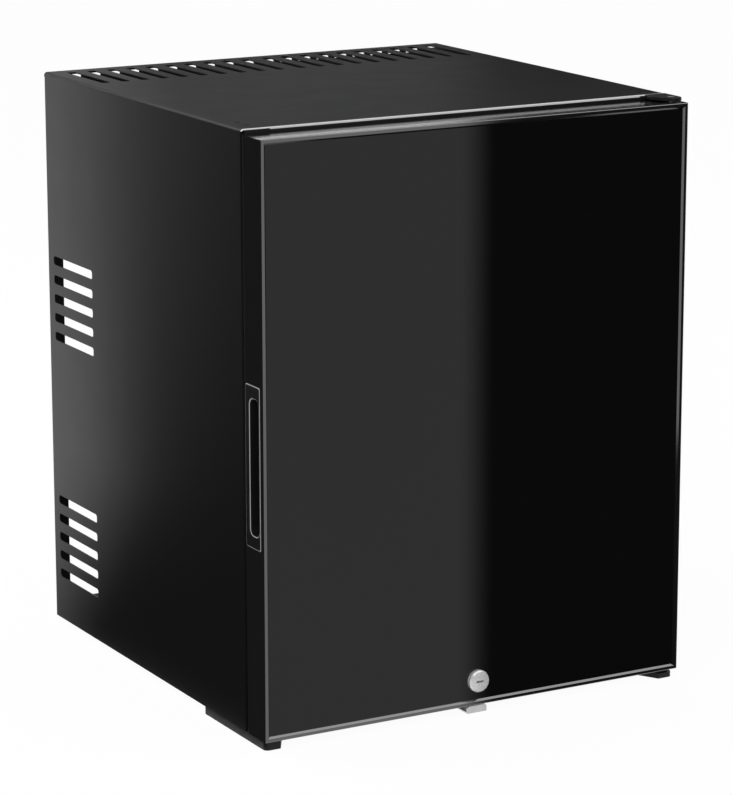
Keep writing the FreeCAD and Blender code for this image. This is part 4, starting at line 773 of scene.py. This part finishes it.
class MINIBAR_OT_studio(bpy.types.Operator):
    """Sets up the pale floor, the soft lamps, the mirrored cards and the camera"""

    bl_idname = "minibar.studio"
    bl_label = "Studio"

    # Strength of the world as a light and as a backdrop
    SOFT_LIGHT = 0.55
    BACKDROP = 1.0
    # Side of the floor in metres, its colour, its glow and how much of the glow shows
    FLOOR_SIZE = 12
    FLOOR_COLOUR = (0.86, 0.86, 0.86, 1)
    FLOOR_GLOW = 1.015
    GLOW_SHARE = 0.94
    # Place, side in metres and power in watts of each lamp, and what all of them face
    LAMPS = {
        "key_lamp": ((-1.6, -1.9, 2.4), 1.6, 30),
        "top_lamp": ((1.15, -0.75, 2.0), 1.3, 3),
        "rim_lamp": ((-1.2, 1.8, 1.8), 1.2, 16),
    }
    LAMP_AIM = Vector((0, 0, 0.25))
    # The photograph's viewpoint, with its angles in degrees
    CAMERA_PLACE = (-1.39221, -2.49531, 0.90761)
    AZIMUTH = -29.28
    ELEVATION = 13.35
    ROLL = -0.07
    SENSOR_WIDTH = 36
    CLIP_END = 50

    def execute(self, context):
        context.scene.view_settings.view_transform = "Standard"
        self.world(context.scene)
        self.floor()
        self.lamps()
        self.cards()
        self.camera(context)
        return {"FINISHED"}

    def world(self, scene):
        """A white backdrop that lights the object only softly."""
        world = bpy.data.worlds.new("studio_world")
        scene.world = world
        tree = bare_tree(world)
        soft = white_light(tree, "ShaderNodeBackground", self.SOFT_LIGHT)
        backdrop = white_light(tree, "ShaderNodeBackground", self.BACKDROP)
        show_mix(tree, "ShaderNodeOutputWorld", seen_directly(tree),
                 soft.outputs["Background"], backdrop.outputs["Background"])

    def floor(self):
        """A pale floor that keeps the object's shadow."""
        start_clean()
        bpy.ops.mesh.primitive_plane_add(size=self.FLOOR_SIZE, location=(0, 0, 0))
        floor = bpy.context.object
        floor.name = "studio_floor"
        floor.data.materials.append(self.floor_material())

    def floor_material(self):
        """Matt white that mostly glows where it is seen directly, so that shadows stay faint."""
        material = bpy.data.materials.new("studio_floor")
        tree = bare_tree(material)
        matt = tree.nodes.new("ShaderNodeBsdfDiffuse")
        matt.inputs["Color"].default_value = self.FLOOR_COLOUR
        glow = white_light(tree, "ShaderNodeEmission", self.FLOOR_GLOW)
        share = tree.nodes.new("ShaderNodeMath")
        share.operation = "MULTIPLY"
        share.inputs[1].default_value = self.GLOW_SHARE
        tree.links.new(seen_directly(tree), share.inputs[0])
        show_mix(tree, "ShaderNodeOutputMaterial", share.outputs["Value"],
                 matt.outputs["BSDF"], glow.outputs["Emission"])
        return material

    def lamps(self):
        """A large soft key lamp at the front left, a faint one at the right and one behind."""
        for name, (place, size, power) in self.LAMPS.items():
            start_clean()
            bpy.ops.object.light_add(type="AREA", location=place)
            lamp = bpy.context.object
            lamp.name = name
            lamp.data.size = size
            lamp.data.energy = power
            aim = self.LAMP_AIM - Vector(place)
            lamp.rotation_euler = aim.to_track_quat("-Z", "Y").to_euler()

    def cards(self):
        """Dark and bright cards round the object, each set close to the face that mirrors it."""
        self.card("front_card",
                  low_start=(0.32, -0.2068, 0.0055), low_end=(-0.9, -0.2068, 0.0055),
                  high_start=(0.5275, -0.5485, 0.62), fade=(0.3005, 0.3395), tones=(0.03, 0.62))
        self.card("left_card",
                  low_start=(-0.235, -0.9, 0.15), low_end=(-0.235, 0.75, 0.15),
                  high_start=(-0.329, -0.69, 0.62), fade=(0.95, 1.2), tones=(0.035, 1.2))
        self.card("low_left_card",
                  low_start=(-0.205, -0.83, 0), low_end=(-0.205, 0.82, 0),
                  high_start=(-0.235, -0.9, 0.15), fade=(0.95, 1.2), tones=(0.035, 1.2))
        self.card("rear_card",
                  low_start=(-0.6, 1.0, 0.45), low_end=(1.9, 1.0, 0.45),
                  high_start=(-0.6, 1.0, 1.5), fade=(0.75, 1.0), tones=(0.47, 0.02))
        self.card("rear_strip",
                  low_start=(0.34, 0.98, 0.695), low_end=(0.78, 0.98, 0.695),
                  high_start=(0.34, 0.98, 0.725), fade=(0.3, 0.42), tones=(1.9, 0.08))

    def card(self, name, low_start, low_end, high_start, fade, tones):
        """A card that only mirrors show. Its tone changes between two places along it, in metres."""
        start_clean()
        bpy.ops.mesh.primitive_plane_add(size=1)
        card = bpy.context.object
        card.name = name
        along = Vector(low_end) - Vector(low_start)
        corners = (low_start, low_end, high_start, Vector(high_start) + along)
        for vert, corner in zip(card.data.vertices, corners):
            vert.co = corner
        shares = [place / along.length for place in fade]
        card.data.materials.append(self.card_material(name, shares, tones))
        card.visible_camera = False
        card.visible_diffuse = False
        card.visible_shadow = False
        card.visible_transmission = False

    @staticmethod
    def card_material(name, shares, tones):
        """Glows on the front with a tone that changes along the card, and is clear on the back."""
        material = bpy.data.materials.new(name)
        tree = bare_tree(material)
        place = tree.nodes.new("ShaderNodeTexCoord")
        split = tree.nodes.new("ShaderNodeSeparateXYZ")
        tree.links.new(place.outputs["UV"], split.inputs["Vector"])
        tone = tree.nodes.new("ShaderNodeMapRange")
        tone.interpolation_type = "SMOOTHSTEP"
        for socket, value in zip(("From Min", "From Max", "To Min", "To Max"), (*shares, *tones)):
            tone.inputs[socket].default_value = value
        tree.links.new(split.outputs["X"], tone.inputs["Value"])
        glow = white_light(tree, "ShaderNodeEmission")
        tree.links.new(tone.outputs["Result"], glow.inputs["Strength"])
        clear = tree.nodes.new("ShaderNodeBsdfTransparent")
        side = tree.nodes.new("ShaderNodeNewGeometry")
        show_mix(tree, "ShaderNodeOutputMaterial", side.outputs["Backfacing"],
                 glow.outputs["Emission"], clear.outputs["BSDF"])
        return material

    def camera(self, context):
        """The camera of the photograph."""
        start_clean()
        bpy.ops.object.camera_add(location=self.CAMERA_PLACE)
        camera = context.object
        turn = math.radians(self.AZIMUTH)
        lift = math.radians(self.ELEVATION)
        ahead = Vector((-math.sin(turn) * math.cos(lift), math.cos(turn) * math.cos(lift),
                        -math.sin(lift)))
        level = ahead.to_track_quat("-Z", "Y")
        rolled = level @ Quaternion((0, 0, 1), math.radians(self.ROLL))
        camera.rotation_euler = rolled.to_euler()
        camera.data.sensor_width = self.SENSOR_WIDTH
        camera.data.lens = context.scene.minibar_sizes.lens_length
        camera.data.clip_end = self.CLIP_END
        context.scene.camera = camera


class MINIBAR_PT_panel(bpy.types.Panel):
    """Lists the steps and the values that they use"""

    bl_label = "Minibar fridge"
    bl_idname = "MINIBAR_PT_panel"
    bl_space_type = "VIEW_3D"
    bl_region_type = "UI"
    bl_category = "Minibar"

    def draw(self, context):
        for step in STEPS:
            self.layout.operator(step.bl_idname)
        for group in (context.scene.minibar_colours, context.scene.minibar_sizes):
            for name in group.bl_rna.properties.keys():
                if name not in ("rna_type", "name"):
                    self.layout.prop(group, name)


STEPS = (MINIBAR_OT_cabinet, MINIBAR_OT_inside, MINIBAR_OT_cooling_unit, MINIBAR_OT_door,
         MINIBAR_OT_door_seal, MINIBAR_OT_dial, MINIBAR_OT_studio)
CLASSES = (MINIBAR_PG_colours, MINIBAR_PG_sizes, *STEPS, MINIBAR_PT_panel)


def register():
    """Makes the classes known and gives the scene their values."""
    for part in CLASSES:
        bpy.utils.register_class(part)
    bpy.types.Scene.minibar_colours = PointerProperty(type=MINIBAR_PG_colours)
    bpy.types.Scene.minibar_sizes = PointerProperty(type=MINIBAR_PG_sizes)


def unregister():
    """Takes back what register does."""
    del bpy.types.Scene.minibar_sizes
    del bpy.types.Scene.minibar_colours
    for part in reversed(CLASSES):
        bpy.utils.unregister_class(part)


def main():
    """Runs every step."""
    register()
    bpy.ops.minibar.cabinet()
    bpy.ops.minibar.inside()
    bpy.ops.minibar.cooling_unit()
    bpy.ops.minibar.door()
    bpy.ops.minibar.door_seal()
    bpy.ops.minibar.dial()
    bpy.ops.minibar.studio()


if __name__ == "__main__":
    main()
